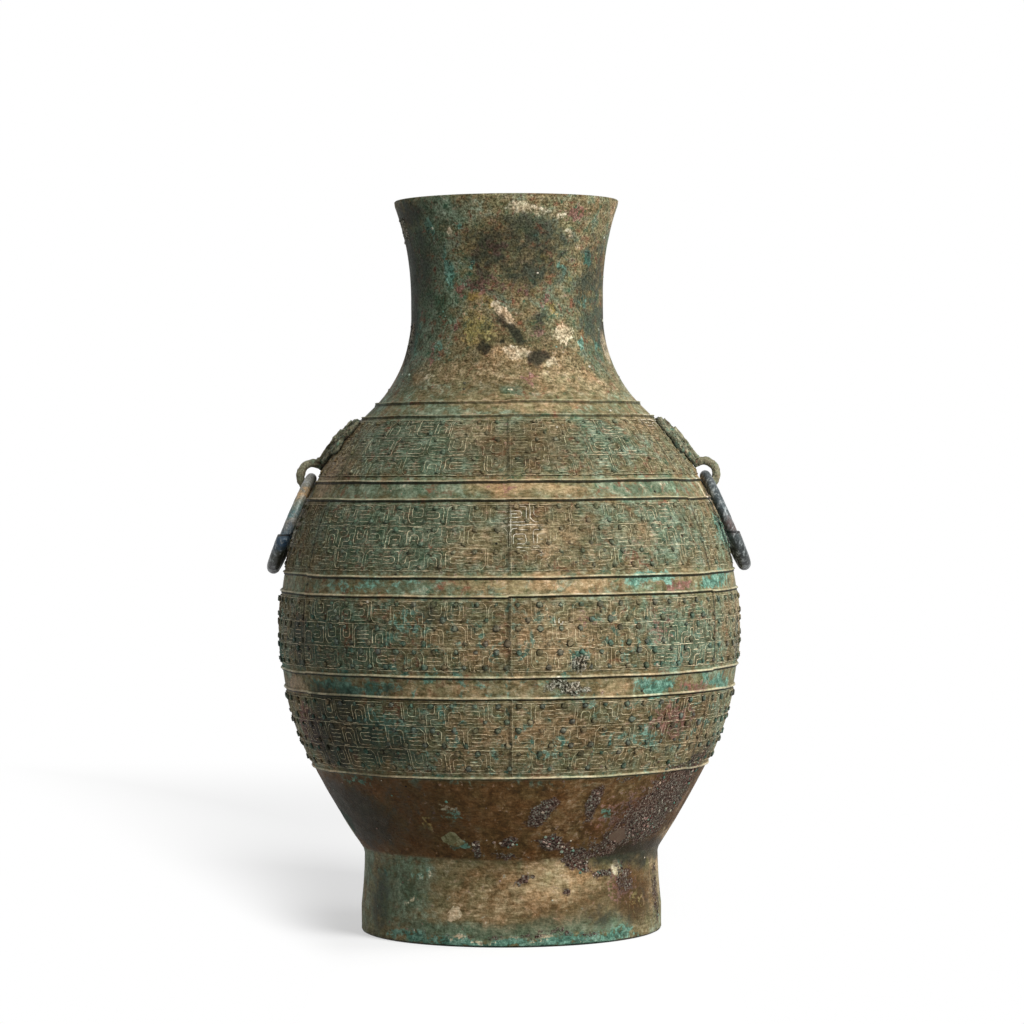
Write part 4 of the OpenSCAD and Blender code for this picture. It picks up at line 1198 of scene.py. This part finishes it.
def ring_bronze():
    """Dark slate bronze on the right ring; pale and tan above to deep blue below on the left one."""
    finish = Finish("ring_bronze")
    finish.surface("Specular IOR Level", 0.35)
    height = finish.attribute("relief")["Fac"]
    medium, speck = finish.noise(4.0, 4.0, 0.7), finish.noise(0.9, 3.0, 0.65)
    drawn = finish.noise(2.2, 4.0, 0.65, 0.0, (1.0, 1.0, 0.35))
    place = finish.scaled(finish.blend(0.4, medium, drawn), 0.16, finish.plus(height, -0.08))
    left = finish.ramp(place, (0.05, 0.012, 0.013, 0.011), (0.20, 0.030, 0.034, 0.022),
                       (0.30, 0.016, 0.042, 0.075), (0.44, 0.085, 0.115, 0.135),
                       (0.53, 0.250, 0.235, 0.200), (0.60, 0.070, 0.135, 0.135),
                       (0.72, 0.180, 0.190, 0.150), (0.79, 0.400, 0.255, 0.125),
                       (0.86, 0.170, 0.165, 0.125), (0.97, 0.260, 0.255, 0.225))
    right = finish.ramp(place, (0.05, 0.016, 0.018, 0.016), (0.35, 0.040, 0.050, 0.050),
                        (0.45, 0.075, 0.050, 0.044), (0.60, 0.030, 0.045, 0.048),
                        (0.90, 0.055, 0.066, 0.070))
    side = finish.sides()[0]
    colour = finish.mix(finish.step(side, -0.001, 0.001), left, right)
    pale_streak_and_highlight, ledge_shadow = (0.300, 0.325, 0.320, 1), (0.006, 0.006, 0.006, 1)
    # Pale grey streaks, which stand partly for painted highlights
    bright = finish.cover(0.32, drawn, 0.9)
    colour = finish.mix(finish.times(bright, 0.7), colour, pale_streak_and_highlight)
    grains = finish.ramp(speck, (0.14, 0.35, 0.35, 0.35), (0.86, 1.7, 1.7, 1.7))
    colour = finish.mix(0.7, colour, grains, "MULTIPLY")
    # A black line where the thin upper part meets the ledge of the thick lower part, a painted shadow
    edge = finish.maths("COMPARE", height, 0.392, 0.010)
    colour = finish.mix(finish.times(edge, 0.9), colour, ledge_shadow)
    finish.surface("Base Color", colour)
    finish.surface("Roughness", finish.blend(medium, 0.30, 0.50))
    finish.surface("Metallic", 0.1)
    finish.bumps(0.7, 0.25, finish.blend(0.5, speck, drawn))
    return finish.material


def chaplet_finish():
    """Yellow-olive bronze with a rusty heart; the chaplets on the right lie under red crust."""
    stops = ((0.15, 0.050, 0.045, 0.016), (0.5, 0.135, 0.130, 0.060), (0.85, 0.290, 0.275, 0.165))
    finish = simple_finish("chaplet_bronze", stops, 3.0, (0.45, 0.65), 0.05, 0.35)
    below = finish.shader.inputs["Base Color"].links[0].from_socket
    colour = finish.mix(finish.cover(0.30, finish.noise(5.0, 3.0, 0.6), 0.9), below,
                        (0.130, 0.060, 0.018, 1))
    side = finish.sides()[0]
    red_crust = (0.095, 0.055, 0.040, 1)
    under = finish.times(finish.step(side, 0.0, 0.03), 0.85)
    colour = finish.mix(under, colour, red_crust)
    finish.surface("Base Color", colour)
    return finish.material


patina = bronze_patina()
wall = vessel_wall(patina)
scroll_bands(patina)
string_ridges(patina)
crust_nodules(wall, patina)
masks(mask_bronze())
rings(ring_bronze())
grey_stops = ((0.1, 0.10, 0.105, 0.10), (0.5, 0.26, 0.27, 0.25), (0.9, 0.42, 0.43, 0.40))
chaplet_bronze = chaplet_finish()
solder_grey = simple_finish("solder_grey", grey_stops, 3.0, (0.4, 0.6), 0.5).material
for node, material in (("wall_chaplets", chaplet_bronze), ("floor_chaplets", chaplet_bronze),
                       ("right_mask_solder", solder_grey), ("left_mask_solder", solder_grey)):
    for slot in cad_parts[node].material_slots:
        slot.material = material


# Floor, lights and camera, in metres
TABLE_R, TABLE_CORNERS = 8, 96
MID_BELLY = (0, 0, 0.19)
CAMERA_AWAY, CAMERA_HEIGHT, CAMERA_ACROSS = 1.771, 0.2315, 0.00175
CAMERA_TILT, CAMERA_ROLL = math.radians(-0.76), math.radians(-0.42)
LENS_MM, SENSOR_MM = 124.6, 36.0


def shooting_table():
    """A pale floor that keeps the vessel's shadow and fades into the white background."""
    mesh = bpy.data.meshes.new("shooting_table")
    turns = np.linspace(0, 2 * math.pi, TABLE_CORNERS + 1)[:-1]
    points = [(0, 0, 0)] + [(TABLE_R * math.sin(a), -TABLE_R * math.cos(a), 0) for a in turns]
    corners = range(TABLE_CORNERS)
    mesh.from_pydata(points, [], [(0, 1 + i, 1 + (i + 1) % TABLE_CORNERS) for i in corners])
    floor = linked("shooting_table", mesh)
    finish = Finish("table_white")
    finish.surface("Roughness", 1.0)
    finish.surface("Specular IOR Level", 0.0)
    white = finish.add("ShaderNodeEmission", {0: (1, 1, 1, 1), 1: 1.0})
    across, back = finish.sides()[:2]
    reach = finish.maths("MAXIMUM", finish.scaled(back, 0.30, 0.058), 0.02)
    left = finish.maths("DIVIDE", finish.scaled(across, -1.0, -0.07), reach)
    clear = finish.maths("MAXIMUM", finish.step(left, 0.2, 1.0), finish.step(across, 0.05, 0.10))
    clear = finish.maths("MAXIMUM", clear, finish.step(back, 0.45, 1.05))
    fade = finish.scaled(clear, 0.5, 0.5)
    seen = finish.add("ShaderNodeLightPath")
    direct = finish.maths("MAXIMUM", seen.outputs["Is Camera Ray"], seen.outputs["Is Glossy Ray"])
    finish.surface("Base Color", finish.mix(direct, (0.5, 0.5, 0.5, 1), (0.97, 0.97, 0.97, 1)))
    share = finish.times(fade, direct)
    both = finish.add("ShaderNodeMixShader", {0: share, 1: finish.shader.outputs[0], 2: white.outputs[0]})
    finish.join(both.outputs[0], finish.tree.nodes["Material Output"].inputs["Surface"])
    mesh.materials.append(finish.material)


def lamp(name, at, aim, width, watts):
    """A square soft box at a place in metres, turned to what it lights."""
    light = bpy.data.lights.new(name, "AREA")
    light.size = width
    light.energy = watts
    holder = linked(name, light)
    holder.location = at
    holder.rotation_euler = (Vector(aim) - Vector(at)).to_track_quat("-Z", "Y").to_euler()


def surroundings():
    """White to the camera and in reflections, and a plain level of light from all round."""
    world = bpy.data.worlds.new("white_studio")
    bpy.context.scene.world = world
    world.use_nodes = True
    bench = Bench(world.node_tree)
    background = bench.tree.nodes["Background"]
    background.inputs["Color"].default_value = (1, 1, 1, 1)
    path = bench.add("ShaderNodeLightPath").outputs
    direct = bench.maths("MAXIMUM", path["Is Camera Ray"], path["Is Glossy Ray"])
    seen = bench.maths("MAXIMUM", direct, path["Is Transmission Ray"])
    bench.join(bench.scaled(seen, 0.70, 0.30), background.inputs["Strength"])


def camera():
    """The photograph's view: level with the belly, from 1.77 m."""
    lens = bpy.data.cameras.new("photograph")
    lens.sensor_width = SENSOR_MM
    lens.lens = LENS_MM
    holder = linked("photograph", lens)
    turn = Matrix.Rotation(math.pi / 2 + CAMERA_TILT, 4, "X") @ Matrix.Rotation(CAMERA_ROLL, 4, "Z")
    holder.matrix_world = Matrix.Translation((CAMERA_ACROSS, -CAMERA_AWAY, CAMERA_HEIGHT)) @ turn
    bpy.context.scene.camera = holder


shooting_table()
lamp("key_light", (1.05, -1.30, 1.2), MID_BELLY, 0.7, 45.0)
lamp("side_light", (1.6, 0.0, 0.8), MID_BELLY, 0.8, 12.0)
surroundings()
camera()
bpy.context.scene.view_settings.view_transform = "Standard"
